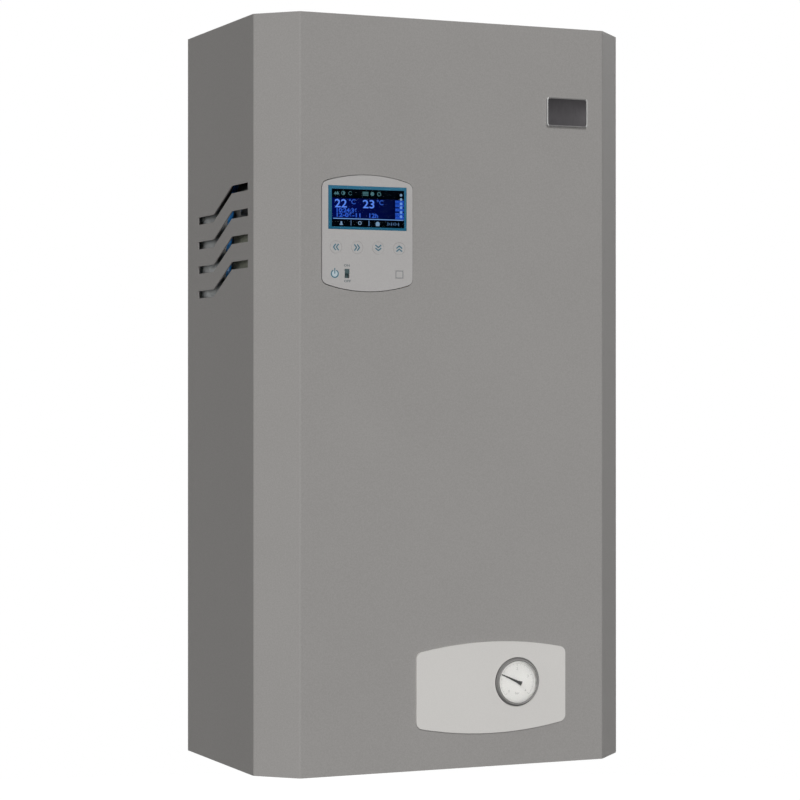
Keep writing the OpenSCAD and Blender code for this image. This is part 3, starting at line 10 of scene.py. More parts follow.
# %% Load the frame
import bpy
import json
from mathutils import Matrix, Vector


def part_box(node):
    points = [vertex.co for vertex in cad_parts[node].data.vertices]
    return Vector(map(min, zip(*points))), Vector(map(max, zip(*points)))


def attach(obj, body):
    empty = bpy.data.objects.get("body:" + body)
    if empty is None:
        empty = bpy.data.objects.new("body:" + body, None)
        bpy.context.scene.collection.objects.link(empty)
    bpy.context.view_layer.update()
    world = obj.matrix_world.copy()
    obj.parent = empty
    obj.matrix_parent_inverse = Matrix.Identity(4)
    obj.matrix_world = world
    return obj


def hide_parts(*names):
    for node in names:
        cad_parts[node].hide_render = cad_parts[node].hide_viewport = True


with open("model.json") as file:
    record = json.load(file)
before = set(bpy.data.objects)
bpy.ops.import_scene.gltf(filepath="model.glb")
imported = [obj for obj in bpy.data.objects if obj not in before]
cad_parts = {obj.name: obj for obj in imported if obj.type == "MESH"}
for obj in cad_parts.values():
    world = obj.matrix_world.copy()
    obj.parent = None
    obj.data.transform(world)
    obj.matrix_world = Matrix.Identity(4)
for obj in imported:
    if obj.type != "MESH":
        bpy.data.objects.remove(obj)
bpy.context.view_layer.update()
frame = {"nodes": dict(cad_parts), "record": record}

import json
import math

import bmesh
import bpy
from mathutils import Matrix, Vector

MM = 0.001
nodes = frame["nodes"]
slot_of = {part["node"]: part["material_slot"] for part in frame["record"]["subparts"]}

# %% [markdown]
# The camera comes first. The photograph is level, taken from the left and from far
# off: the casing's upright edges stay upright and its other edges hardly converge.
# The distance and the lens follow from that convergence, so the shape is the same
# as in the photograph. The small shift puts the boiler where the photograph has it.

# %% Camera
CAMERA_TURN = math.radians(-23.977)
CAMERA_DISTANCE = 2617.9 * MM
MID_DEPTH = -115 * MM

camera_data = bpy.data.cameras.new("camera")
camera_data.lens = 114.18
camera_data.sensor_width = 36
camera_data.shift_x = -0.01005
camera_data.shift_y = -0.00645
camera = bpy.data.objects.new("camera", camera_data)
bpy.context.scene.collection.objects.link(camera)
camera.location = (
    math.sin(CAMERA_TURN) * CAMERA_DISTANCE,
    MID_DEPTH - math.cos(CAMERA_TURN) * CAMERA_DISTANCE,
    0,
)
camera.rotation_euler = (math.radians(90), 0, CAMERA_TURN)
bpy.context.scene.camera = camera
print("camera at", [round(v, 3) for v in camera.location])

# %% [markdown]
# The light is plain. One wide sun stands in front and above, a nearly level one shines
# from half left and a weaker one from the left, so that each face of the casing gets its
# own even tone, as in the photograph. The level one also shines in through the slots,
# and a fourth sun, behind on the right, lights the sides that the photograph doesn't
# show. Wide suns are soft at their shadows' edges. The world is white to the camera, to
# gloss and to glass, and only dim to dull surfaces, so it fills the shadows without
# washing out the chamfers.

# %% Light
# Each sun's strength, turn, height and, where it isn't the usual one, spread.
FRONT_SUN = (1.8, 0, 35)
HALF_LEFT_SUN = (1.62, -28.5, -2.2, 9)
LEFT_SUN = (0.72, -90, 20)
BACK_SUN = (1.7, 127, 20, 15)
WORLD_FILL = 0.02


def add_sun(name, strength, turn, height, spread=25):
    """A sun seen at a turn round the boiler and a height above the horizon, in degrees."""
    data = bpy.data.lights.new(name, "SUN")
    data.energy = strength
    data.angle = math.radians(spread)
    sun = bpy.data.objects.new(name, data)
    bpy.context.scene.collection.objects.link(sun)
    sun.rotation_euler = (math.radians(90 - height), 0, math.radians(turn))


add_sun("front_sun", *FRONT_SUN)
add_sun("half_left_sun", *HALF_LEFT_SUN)
add_sun("left_sun", *LEFT_SUN)
add_sun("back_sun", *BACK_SUN)
bpy.context.scene.view_settings.view_transform = "Standard"
print("suns:", FRONT_SUN, HALF_LEFT_SUN, LEFT_SUN, BACK_SUN, "fill:", WORLD_FILL)

# %% [markdown]
# Colours are written as sRGB hex codes, as a paint chart gives them. A shader works
# in linear light, so one function turns them. A second function adds a shader node
# with its settings and links, and a third starts a material: one Principled shader
# and the coordinates of the object, which are metres in this scene. A fourth blends
# two colours, and a fifth picks the rays that see the surroundings as plain white.


# %% Colours and nodes
def colour(code):
    """Linear RGBA of an sRGB hex colour."""
    parts = [int(code[i : i + 2], 16) / 255 for i in (1, 3, 5)]
    linear = [p / 12.92 if p <= 0.04045 else ((p + 0.055) / 1.055) ** 2.4 for p in parts]
    return (*linear, 1)


def add_node(tree, kind, inputs=None, **settings):
    """Add a node, set its settings, and give each input a value or a link."""
    node = tree.nodes.new("ShaderNode" + kind)
    for name, value in settings.items():
        setattr(node, name, value)
    for socket, value in (inputs or {}).items():
        if isinstance(value, bpy.types.NodeSocket):
            tree.links.new(value, node.inputs[socket])
        else:
            node.inputs[socket].default_value = value
    return node


def start_material(name, code, roughness, **sockets):
    """A material with one Principled shader, and the coordinates of its object."""
    material = bpy.data.materials.new(name)
    material.use_nodes = True
    tree = material.node_tree
    tree.nodes.clear()
    values = {"Base Color": colour(code), "Roughness": roughness}
    values.update({key.replace("_", " "): value for key, value in sockets.items()})
    shader = add_node(tree, "BsdfPrincipled", values)
    add_node(tree, "OutputMaterial", {"Surface": shader.outputs["BSDF"]})
    place = add_node(tree, "TexCoord").outputs["Object"]
    return material, tree, shader, place


def blend(tree, share, first, second):
    """A colour between two, by a share from 0 to 1. Each is a hex code or a link."""
    first, second = (colour(c) if isinstance(c, str) else c for c in (first, second))
    mixed = add_node(tree, "MixRGB", {"Fac": share, "Color1": first, "Color2": second})
    return mixed.outputs[0]


def white_rays(tree):
    """1 for a ray of the camera, of gloss or of glass, and 0 for one of a dull surface."""
    ray = add_node(tree, "LightPath")
    seen = ray.outputs["Is Camera Ray"]
    for kind in ("Is Glossy Ray", "Is Transmission Ray"):
        either = add_node(tree, "Math", {0: seen, 1: ray.outputs[kind]}, operation="MAXIMUM")
        seen = either.outputs[0]
    return seen


print("a mid grey in linear light:", round(colour("#808080")[0], 3))

# %% White surroundings
world = bpy.data.worlds.new("studio")
bpy.context.scene.world = world
world.use_nodes = True
tree = world.node_tree
tree.nodes.clear()
level = add_node(
    tree, "MapRange", {"Value": white_rays(tree), "To Min": WORLD_FILL, "To Max": 1}
)
backdrop = add_node(tree, "Background", {"Color": (1, 1, 1, 1), "Strength": level.outputs[0]})
add_node(tree, "OutputWorld", {"Surface": backdrop.outputs[0]})
print("world nodes:", len(tree.nodes))

# %% [markdown]
# Most finishes differ in three things: how the colour wanders over the surface, how
# the gloss varies, and what relief the making left. One function gives a material
# two noises of real sizes. The larger one is for clouds and stains, and the small
# grain is the pebble of a powder coat, the skin of a moulding or, stretched along
# one axis, the lines of a brushed or drawn metal. A fresh even coat has few clouds.


# %% Mottled surface
NOISE_REACH = 0.15
RELIEF_STRENGTH = 0.5


def surface(
    name, light, dark, gloss, patch, grain, relief, stretch=(1, 1, 1), clouds=1, **sockets
):
    """A finish between two hex codes and two roughness values.

    The sizes of patch, grain and relief are in mm.
    """
    material, tree, shader, place = start_material(name, light, gloss[0], **sockets)
    lie = add_node(tree, "Mapping", {"Vector": place, "Scale": stretch}).outputs[0]
    cloud = add_node(tree, "TexNoise", {"Vector": place, "Scale": 1 / (patch * MM), "Detail": 3})
    fine = add_node(tree, "TexNoise", {"Vector": lie, "Scale": 1 / (grain * MM), "Detail": 2})
    both = add_node(
        tree,
        "Math",
        {0: cloud.outputs[0], 1: clouds, 2: fine.outputs[0]},
        operation="MULTIPLY_ADD",
    )
    middle, reach = (1 + clouds) / 2, NOISE_REACH * (1 + clouds)
    share = add_node(
        tree,
        "MapRange",
        {"Value": both.outputs[0], "From Min": middle - reach, "From Max": middle + reach},
    )
    shade = blend(tree, share.outputs[0], dark, light)
    tree.links.new(shade, shader.inputs["Base Color"])
    rough = add_node(
        tree, "MapRange", {"Value": share.outputs[0], "To Min": gloss[0], "To Max": gloss[1]}
    )
    tree.links.new(rough.outputs[0], shader.inputs["Roughness"])
    bump = add_node(
        tree,
        "Bump",
        {"Height": fine.outputs[0], "Strength": RELIEF_STRENGTH, "Distance": relief * MM},
    )
    tree.links.new(bump.outputs[0], shader.inputs["Normal"])
    return material


print("noise reach:", NOISE_REACH, "relief strength:", RELIEF_STRENGTH)

# %% [markdown]
# Paints. The casing is mild steel sheet with a polyester powder coat, which melts
# into a skin with a fine pebble. The real pebble is about 0.3 mm, too fine to show
# here, so it is drawn at 1.2 mm. In the photograph even the faces seen at a slant have
# hardly any glare, so the coat's IOR is low. The pump and the motor have a thinner wet
# paint over rough castings.

# %% Paints
COAT = ("#949290", "#8D8B89")
powder_coat = surface(
    "powder_coated_steel", *COAT, (0.55, 0.65), 90, 1.2, 0.05, clouds=0.25, IOR=1.12
)
gauge_paint = surface("black_painted_steel", "#46474A", "#36373A", (0.4, 0.5), 20, 1.0, 0.02)
iron_paint = surface("painted_cast_iron", "#40454B", "#34383D", (0.5, 0.65), 14, 1.6, 0.25)
motor_paint = surface("painted_die_casting", "#565B60", "#484D52", (0.42, 0.55), 18, 0.9, 0.08)
enamel = surface("white_enamel", "#D4D3D1", "#CDCCCA", (0.3, 0.36), 25, 0.8, 0.01)
pointer_paint = surface("black_enamel", "#1A1A1A", "#121212", (0.35, 0.45), 10, 0.6, 0.01)
print("paints:", powder_coat.name, iron_paint.name, enamel.name)

# %% [markdown]
# Metals. A metal's colour is its reflection, so its base colour is light and its
# roughness does the rest. Galvanised sheet shows zinc crystals of a few millimetres,
# each with its own grey. Drawn copper and rolled sheet carry faint lines along their
# length, and turned brass carries rings, which the small grain stands for.

# %% Metals
vessel_steel = surface(
    "welded_steel", "#9A9C9E", "#7E8184", (0.32, 0.48), 40, 0.7, 0.02, (1, 1, 0.05), Metallic=1.0
)
zinc_plate = surface(
    "zinc_plated_steel", "#C6C8C8", "#AFB2B0", (0.25, 0.38), 8, 0.5, 0.01, Metallic=1.0
)
brass = surface(
    "machined_brass", "#CDB06A", "#B5954F", (0.24, 0.36), 16, 0.5, 0.01, Metallic=1.0
)
copper = surface(
    "drawn_copper", "#C98A62", "#A8663F", (0.26, 0.42), 24, 0.6, 0.01, Metallic=1.0
)
ALONG = (1, 1, 0.04)
extruded_aluminium = surface(
    "extruded_aluminium", "#C3C6CA", "#B0B4B9", (0.3, 0.42), 30, 0.4, 0.01, ALONG, Metallic=1.0
)
turned_steel = surface(
    "turned_steel", "#A3A19E", "#8B8987", (0.26, 0.34), 12, 0.4, 0.01, Metallic=1.0
)

# Zinc crystals, each with its own shade and gloss. The zinc has gone dull with age, so
# it is only part metal.
CRYSTAL = 7 * MM
galvanised, tree, shader, place = start_material(
    "dull_zinc_coat", "#B0B2B1", 0.5, Metallic=0.2
)
crystal = add_node(tree, "TexVoronoi", {"Vector": place, "Scale": 1 / CRYSTAL})
grey = add_node(tree, "RGBToBW", {"Color": crystal.outputs["Color"]})
shade = blend(tree, grey.outputs[0], "#A0A2A1", "#BABCBB")
tree.links.new(shade, shader.inputs["Base Color"])
rough = add_node(tree, "MapRange", {"Value": grey.outputs[0], "To Min": 0.42, "To Max": 0.58})
tree.links.new(rough.outputs[0], shader.inputs["Roughness"])
print("metals:", galvanised.name, brass.name, copper.name)

# %% [markdown]
# Plastics, rubber and foam. Moulded plastic takes the fine spark-eroded texture of
# its mould. Rubber is duller and darker. The jacket round the vessel is a soft cell
# foam, whose open pores are a few millimetres wide.

# %% Plastics and rubber
face_plastic = surface(
    "moulded_grey_abs", "#A3A1A0", "#9D9B9A", (0.42, 0.5), 60, 0.8, 0.015, clouds=0.3, IOR=1.5
)
plate_plastic = surface(
    "satin_light_plate", "#C6C4C1", "#C1BFBC", (0.4, 0.48), 80, 0.9, 0.01, clouds=0.3, IOR=1.5
)
switch_plastic = surface(
    "moulded_grey_green_abs", "#314649", "#2A3E40", (0.45, 0.55), 9, 0.7, 0.02
)
housing_plastic = surface("moulded_dark_abs", "#42454A", "#36393D", (0.45, 0.58), 20, 0.9, 0.04)
black_plastic = surface("black_polyamide", "#222326", "#18191B", (0.4, 0.52), 12, 0.8, 0.03)
terminal_plastic = surface("grey_polyamide", "#989CA1", "#868A90", (0.4, 0.52), 15, 0.8, 0.03)
impeller_plastic = surface(
    "glass_filled_plastic", "#CDB88E", "#BCA67A", (0.4, 0.5), 9, 0.7, 0.03
)
red_plastic = surface("red_moulded_plastic", "#BE2A20", "#A6231B", (0.25, 0.35), 10, 0.9, 0.01)
gasket_rubber = surface("gasket_rubber", "#303030", "#242424", (0.7, 0.8), 12, 0.8, 0.04)
cable_grey = surface("ribbon_insulation", "#97979A", "#858588", (0.45, 0.55), 14, 1.0, 0.02)
blue_wire = surface("blue_wire_insulation", "#3C9AEC", "#318ADA", (0.32, 0.42), 18, 0.8, 0.01)
black_wire = surface("black_wire_insulation", "#232327", "#18181B", (0.32, 0.42), 18, 0.8, 0.01)
brown_wire = surface("brown_wire_insulation", "#66432E", "#523323", (0.32, 0.42), 18, 0.8, 0.01)
jacket_foam = surface("insulating_foam", "#76786C", "#5A5C51", (0.85, 0.95), 26, 2.6, 0.9)
solder_mask = surface("green_solder_mask", "#26724A", "#1C5A38", (0.22, 0.34), 22, 1.2, 0.03)
print("plastics:", face_plastic.name, plate_plastic.name, jacket_foam.name)

# %% [markdown]
# Clear parts. The gauge's glass and the display's acrylic window are thin flat
# panes. Both are clear all through, so they are a Principled shader with full
# transmission.

# %% Glass
lens_glass, *_ = start_material(
    "gauge_glass_pane", "#FCFCFB", 0.02, IOR=1.3, Transmission_Weight=1.0
)
# The window's front is etched against glare, so it mirrors next to nothing.
window_acrylic, *_ = start_material(
    "clear_acrylic_window", "#FAFBFC", 0.03, IOR=1.05, Transmission_Weight=1.0
)
print("clear:", lens_glass.name, window_acrylic.name)

# %% [markdown]
# The record gives each part a material slot, so one table from slot to finish dresses
# every CAD part at once. Only the switch has a finish of its own: its knob and the
# guide behind it are a grey-green moulding.

# %% Dress the CAD parts
cell_frame, *_ = start_material("display_cell_frame", "#3A3E46", 0.35, Metallic=0.6)
FINISH = {
    "casing_paint": powder_coat,
    "galvanised_sheet": galvanised,
    "badge_metal": turned_steel,
    "plate_plastic": plate_plastic,
    "zinc_fastener": zinc_plate,
    "housing_plastic": housing_plastic,
    "panel_face": face_plastic,
    "display_glass": window_acrylic,
    "display_cell": cell_frame,
    "circuit_board": solder_mask,
    "black_plastic": black_plastic,
    "flat_cable": cable_grey,
    "gauge_black": gauge_paint,
    "bezel_metal": turned_steel,
    "dial_white": enamel,
    "gauge_lens": lens_glass,
    "pointer_black": pointer_paint,
    "copper": copper,
    "vessel_steel": vessel_steel,
    "jacket_foam": jacket_foam,
    "gasket_rubber": gasket_rubber,
    "brass": brass,
    "pump_iron": iron_paint,
    "motor_paint": motor_paint,
    "impeller_plastic": impeller_plastic,
    "knob_red": red_plastic,
    "heat_sink_metal": extruded_aluminium,
    "terminal_grey": terminal_plastic,
    "blue_insulation": blue_wire,
    "black_insulation": black_wire,
    "brown_insulation": brown_wire,
}
OWN_FINISH = {"switch_knob": switch_plastic, "switch_body": switch_plastic}


def finish_of(node):
    """The finish of a CAD part."""
    return OWN_FINISH.get(node, FINISH[slot_of[node]])


for name, part in nodes.items():
    part.data.materials.clear()
    part.data.materials.append(finish_of(name))
print("dressed:", len(nodes))

# %% [markdown]
# Some parts need more than a finish. A finished piece is a mesh whose place is in its
# points, so one function turns a bmesh into an object, gives it its finish, hangs it on
# the body that carries it, and hides the CAD parts it stands for. A second function
# starts from a CAD part: it joins the loose triangles and makes flat faces whole again.
# The others round edges, and find the sharp edges and the faces that look to the front.

# %% Make a piece
JOIN_WITHIN = 0.002 * MM
FLAT_WITHIN = 1


def make_piece(bm, name, body, slot, *finishes, stands_for=(), smooth=None):
    """Turn a bmesh into a piece on a body. Edges sharper than the smooth angle stay sharp."""
    mesh = bpy.data.meshes.new(name)
    bm.to_mesh(mesh)
    bm.free()
    for finish in finishes:
        mesh.materials.append(finish)
    if smooth:
        mesh.shade_smooth()
        mesh.set_sharp_from_angle(angle=math.radians(smooth))
    piece = bpy.data.objects.new(name, mesh)
    bpy.context.scene.collection.objects.link(piece)
    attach(piece, body)
    if stands_for:
        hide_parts(*stands_for)


def joined_copy(node, whole_faces=True):
    """A bmesh of a CAD part with its triangles joined and, if asked, its flat faces whole."""
    bm = bmesh.new()
    bm.from_mesh(nodes[node].data)
    bmesh.ops.remove_doubles(bm, verts=bm.verts, dist=JOIN_WITHIN)
    if whole_faces:
        bmesh.ops.dissolve_limit(
            bm, angle_limit=math.radians(FLAT_WITHIN), verts=bm.verts, edges=bm.edges
        )
    return bm


def round_edges(bm, edges, width, segments=2):
    """Bevel edges to a width in mm."""
    bmesh.ops.bevel(
        bm,
        geom=edges,
        offset=width * MM,
        segments=segments,
        profile=0.5,
        affect="EDGES",
        clamp_overlap=True,
        material=-1,
    )


def sharp_edges(bm, over=1):
    """The edges whose faces meet at more than an angle in radians."""
    return [edge for edge in bm.edges if edge.calc_face_angle(0) > over]


def looks_forward(face):
    """True for a face that looks to the front."""
    return face.normal.y < -0.9


print("points join within mm:", JOIN_WITHIN / MM)

# %% [markdown]
# Turned, drawn and cast parts are round, but a CAD mesh shows its flat facets. More
# facets would only make the file heavier, so a joined copy shades them smoothly and
# keeps every edge sharper than 30 degrees. Each copy stands for its part and rides on
# the same body.

# %% Round parts
BODY_OF = {
    node: body
    for body, members in frame["record"]["behaviour"]["bodies"].items()
    for node in members
}
ROUND_PARTS = (
    "heating_vessel vessel_jacket vessel_straps flange_gasket heater_flange flange_bolts "
    "heating_rods terminal_bridge air_vent limit_thermostat supply_pipe return_pipe "
    "transfer_pipe union_nuts pump_volute pump_motor pump_impeller relief_valve "
    "relief_knob relief_pipe cable_glands neutral_lead phase_leads contactor_leads "
    "gauge_case gauge_capillary chassis_screws cover_screws"
).split()
for node in ROUND_PARTS:
    bm = joined_copy(node, whole_faces=False)
    where = ("smooth_" + node, BODY_OF[node], slot_of[node])
    make_piece(bm, *where, finish_of(node), stands_for=(node,), smooth=30)
print("smooth parts:", len(ROUND_PARTS))

# %% [markdown]
# The cover is one sheet bent on a press brake. A bend is never sharp: its outer
# radius is about the sheet's thickness plus that of the punch. The CAD cover keeps its
# bends sharp, so a copy gets them by a bevel of its four upright ones, which then
# catch a thin line of light.

# %% Cover bends
BEND_WIDTH = 1.1
LEAST_TURN, MOST_TURN = 40, 50
LONG_EDGE = 500 * MM
NEAR = 0.01 * MM
bm = joined_copy("front_cover")
front_y = min(v.co.y for v in bm.verts)
side_x = max(v.co.x for v in bm.verts)
bends = []
for edge in bm.edges:
    if len(edge.link_faces) != 2:
        continue
    a, b = (v.co for v in edge.verts)
    turn = math.degrees(edge.calc_face_angle(0))
    upright = abs(a.x - b.x) < NEAR / 10 and abs(a.y - b.y) < NEAR / 10
    long_run = abs(a.z - b.z) > LONG_EDGE
    outer = abs(abs(a.x) - side_x) < NEAR or abs(a.y - front_y) < NEAR
    if upright and long_run and outer and LEAST_TURN < turn < MOST_TURN:
        bends.append(edge)
print("upright bends:", len(bends), "open edges:", sum(not e.is_manifold for e in bm.edges))
round_edges(bm, bends, BEND_WIDTH, 3)
make_piece(bm, "bent_cover", "cover", "casing_paint", powder_coat, stands_for=("front_cover",))

# %% [markdown]
# Words, marks and symbols are printed or lit shapes of almost no thickness. Each is a
# very thin closed solid, half sunk in the face that carries it, so it never floats or
# flickers. An image could do it too, but a shape stays sharp from near. Four helpers
# add a bar, a disc, an arc and a word to a bmesh, in mm, seen from the front.

# %% Print helpers
PRINT = 0.08
CAP_HEIGHT = 0.7
FACING = Matrix.Rotation(math.radians(90), 4, "X")


def add_bar(bm, x, z, width, height, y, turn=0, thick=PRINT):
    """A flat bar centred at x and z, turned anticlockwise by an angle in degrees."""
    size = Matrix.Diagonal((width * MM, thick * MM, height * MM, 1))
    spot = Matrix.Translation(Vector((x, y, z)) * MM)
    bmesh.ops.create_cube(
        bm, size=1, matrix=spot @ Matrix.Rotation(math.radians(-turn), 4, "Y") @ size
    )


def add_disc(bm, x, z, radius, y, sides=24):
    """A flat disc, or with few sides a triangle or another regular shape."""
    spot = Matrix.Translation(Vector((x, y, z)) * MM)
    bmesh.ops.create_cone(
        bm,
        cap_ends=True,
        segments=sides,
        radius1=radius * MM,
        radius2=radius * MM,
        depth=PRINT * MM,
        matrix=spot @ FACING,
    )


def add_arc(bm, x, z, radius, width, y, start=0, sweep=360, steps=32):
    """A ring or an open arc, spun from a small rectangle about its centre."""
    corners = [(radius - width / 2, -PRINT / 2), (radius + width / 2, -PRINT / 2)]
    corners += [(radius + width / 2, PRINT / 2), (radius - width / 2, PRINT / 2)]
    turn = Matrix.Rotation(math.radians(-start), 3, "Y")
    centre = Vector((x, y, z)) * MM
    verts = [bm.verts.new(centre + turn @ (Vector((r, t, 0)) * MM)) for r, t in corners]
    face = bm.faces.new(verts)
    bmesh.ops.spin(
        bm,
        geom=[face, *face.edges, *verts],
        cent=centre,
        axis=(0, -1, 0),
        angle=math.radians(sweep),
        steps=steps,
        use_merge=sweep == 360,
    )


def add_words(bm, words, height, x, z, y, heavy=0, wide=1):
    """A word or a number, centred, in Blender's own font, drawn wider by a factor."""
    text = bpy.data.curves.new("words", "FONT")
    text.body = words
    text.size = height / CAP_HEIGHT * MM
    text.extrude = PRINT / 2 * MM
    text.offset = heavy * MM
    text.align_x = "CENTER"
    text.align_y = "CENTER"
    holder = bpy.data.objects.new("words", text)
    bpy.context.scene.collection.objects.link(holder)
    mesh = bpy.data.meshes.new_from_object(holder)
    spread = Matrix.Diagonal((wide, 1, 1, 1))
    mesh.transform(Matrix.Translation(Vector((x, y, z)) * MM) @ FACING @ spread)
    bm.from_mesh(mesh)
    bpy.data.meshes.remove(mesh)
    bpy.data.objects.remove(holder)


def outward(bm):
    """Join doubled points and turn every face outwards."""
    bmesh.ops.remove_doubles(bm, verts=bm.verts, dist=JOIN_WITHIN / 4)
    bmesh.ops.recalc_face_normals(bm, faces=bm.faces)
    return bm


print("print thickness in mm:", PRINT)

# %% [markdown]
# The display is a small blue graphic module behind a clear window. Seen from outside
# there are three layers: the pane, a teal border printed on its back, and the lit
# screen. The CAD window is one block, so a thinner pane takes its place and leaves
# room for the other two. The lit layer shines a little by itself, and the teal border
# shines too, a painted glow that is lighter towards the top.

# %% Display window
low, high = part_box("display_window")
left, right = low.x / MM, high.x / MM
bottom, top = low.z / MM, high.z / MM
front = low.y / MM
PANE = 0.5
BORDER_Y = front + PANE + 0.35
SCREEN_Y = front + 1.3
# The lit area's left, right, top and bottom, as shares of the window.
LIT = (0.046, 0.974, 0.072, 0.94)
FIELD_TOP, FIELD_BOTTOM = 0.285, 0.77


def on_screen(across, down):
    """The place in mm of a share of the window's width and of its height from the top."""
    return left + across * (right - left), top - down * (top - bottom)


bm = bmesh.new()
middle = ((left + right) / 2, (top + bottom) / 2)
add_bar(bm, *middle, right - left, top - bottom, front + PANE / 2, thick=PANE)
round_edges(bm, [e for e in bm.edges if all(v.co.y < low.y + 0.0001 for v in e.verts)], 0.15)
make_piece(
    bm, "display_pane", "chassis", "display_glass", window_acrylic, stands_for=("display_window",)
)
print("window in mm:", round(right - left, 1), round(top - bottom, 1))


# %% Lit inks
def lit_ink(name, code):
    """A mark on the screen, almost black by itself, that shines with its own colour."""
    material, *_ = start_material(
        name,
        "#030406",
        0.5,
        Emission_Color=colour(code),
        Emission_Strength=1.0,
        Specular_IOR_Level=0.0,
    )
    return material


lit_digits = lit_ink("lit_digits", "#5784EA")
lit_dots = lit_ink("lit_dots", "#6692D8")
lit_pale = lit_ink("lit_pale_signs", "#7491AE")
lit_text = lit_ink("lit_small_text", "#2C58C6")
lit_bars = lit_ink("lit_bars", "#1D48B0")
lit_line = lit_ink("lit_line", "#6C97CC")
lit_green = lit_ink("lit_green_signs", "#456D74")
print("lit inks:", lit_digits.name, lit_text.name, lit_line.name, lit_green.name)

# %% [markdown]
# The screen's blue is brightest at the left and in the middle, and the bars at its top
# and bottom are black. One material does this from the object's coordinates: a band in
# height picks blue or black, and a gradient across makes the blue fall off.

# %% Screen colours
screen_blue, tree, shader, place = start_material(
    "backlit_screen", "#020305", 0.5, Emission_Strength=1.0, Specular_IOR_Level=0.0
)
axes = add_node(tree, "SeparateXYZ", {"Vector": place})
across = add_node(
    tree,
    "MapRange",
    {
        "Value": axes.outputs["X"],
        "From Min": on_screen(LIT[0], 0)[0] * MM,
        "From Max": on_screen(LIT[1], 0)[0] * MM,
    },
)
blue = blend(tree, across.outputs[0], "#010848", "#00042A")
below_bar = add_node(
    tree,
    "Math",
    {0: axes.outputs["Z"], 1: on_screen(0, FIELD_TOP)[1] * MM},
    operation="LESS_THAN",
)
above_bar = add_node(
    tree,
    "Math",
    {0: axes.outputs["Z"], 1: on_screen(0, FIELD_BOTTOM)[1] * MM},
    operation="GREATER_THAN",
)
band = add_node(
    tree, "Math", {0: below_bar.outputs[0], 1: above_bar.outputs[0]}, operation="MULTIPLY"
)
glow = blend(tree, band.outputs[0], "#000103", blue)
tree.links.new(glow, shader.inputs["Emission Color"])

# The border is a print, yet it shines with its own teal: a painted glow, lighter towards the top.
glowing_teal_border, tree, shader, place = start_material(
    "teal_print_with_painted_glow", "#0E2430", 0.5, Emission_Strength=1.0, Specular_IOR_Level=0.0
)
axes = add_node(tree, "SeparateXYZ", {"Vector": place})
down = add_node(
    tree,
    "MapRange",
    {"Value": axes.outputs["Z"], "From Min": bottom * MM, "From Max": top * MM},
)
teal = blend(tree, down.outputs[0], "#1D5269", "#2F6078")
tree.links.new(teal, shader.inputs["Emission Color"])
print("screen:", screen_blue.name, "border:", glowing_teal_border.name)

# %% Screen and border
x0, z0 = on_screen(LIT[0], LIT[2])
x1, z1 = on_screen(LIT[1], LIT[3])
bm = bmesh.new()
add_bar(bm, (x0 + x1) / 2, (z0 + z1) / 2, x1 - x0, z0 - z1, SCREEN_Y, thick=0.2)
make_piece(bm, "lit_screen", "chassis", "display_cell", screen_blue)

bm = bmesh.new()
frame_bars = (
    (left, x0, bottom, top),
    (x1, right, bottom, top),
    (x0, x1, z0, top),
    (x0, x1, bottom, z1),
)
for a, b, c, d in frame_bars:
    add_bar(bm, (a + b) / 2, (c + d) / 2, b - a, d - c, BORDER_Y, thick=0.6)
make_piece(bm, "display_border", "chassis", "display_cell", glowing_teal_border)
print("lit area in mm:", round(x1 - x0, 1), round(z0 - z1, 1))

# %% [markdown]
# What the screen shows: two temperatures, two small lines of time, a column of bars
# and dots, a row of state signs above and four fields below. On the real module they
# are dots of a fine grid, too small to see, so words and plain shapes do. Each tone of
# light is one piece.

# %% Temperatures
MARK_Y = SCREEN_Y - 0.12
DOTS_ACROSS = 0.934
bm = bmesh.new()
for words, across in (("22", 0.164), ("23", 0.52)):
    x, z = on_screen(across, 0.417)
    add_words(bm, words, 7.9, x, z, MARK_Y, 0.14, 1.18)
make_piece(bm, "screen_digits", "chassis", "display_cell", lit_digits)
print("last number at", round(x, 1), round(z, 1))

# %% Small text and bars
bm = bmesh.new()
# The words, their place on the screen, their height, weight and width.
for words, across, down, height, heavy, wide in (
    ("\u00b0C", 0.308, 0.368, 4.6, 0.06, 1.05),
    ("\u00b0C", 0.664, 0.368, 4.6, 0.06, 1.05),
    ("10:24:36", 0.235, 0.568, 4.0, 0.16, 1.17),
    ("12-06-11", 0.262, 0.674, 3.8, 0.16, 1.4),
    ("12h", 0.576, 0.674, 4.2, 0.14, 1.2),
):
    x, z = on_screen(across, down)
    add_words(bm, words, height, x, z, MARK_Y, heavy, wide)
make_piece(bm, "screen_small_text", "chassis", "display_cell", lit_text)

bm = bmesh.new()
for down in (0.335, 0.419, 0.517, 0.619, 0.7):
    x, z = on_screen(0.915, down)
    add_bar(bm, x, z, 9.3, 3.0, MARK_Y + 0.03)
make_piece(bm, "screen_bars", "chassis", "display_cell", lit_bars)
print("lowest bar at", round(x, 1), round(z, 1))

# %% Dots, signs and lines
bm = bmesh.new()
for down in (0.373, 0.463, 0.571, 0.67):
    x, z = on_screen(DOTS_ACROSS, down)
    add_disc(bm, x, z, 1.45, MARK_Y, 16)
make_piece(bm, "screen_dots", "chassis", "display_cell", lit_dots)

bm = bmesh.new()
for down in (0.175, 0.274):
    x, z = on_screen(DOTS_ACROSS, down)
    add_disc(bm, x, z, 1.35, MARK_Y, 16)
x, z = on_screen(0.633, 0.86)
add_bar(bm, x, z - 0.7, 3.8, 2.4, MARK_Y)
add_disc(bm, x, z + 0.2, 2.2, MARK_Y - 0.01, 16)
x, z = on_screen(0.17, 0.86)
add_bar(bm, x, z - 1.1, 3.4, 1.2, MARK_Y)
add_bar(bm, x, z, 1.7, 3.6, MARK_Y - 0.01)
x, z = on_screen(0.405, 0.845)
add_arc(bm, x, z, 1.5, 0.7, MARK_Y)
make_piece(outward(bm), "screen_pale_signs", "chassis", "display_cell", lit_pale)

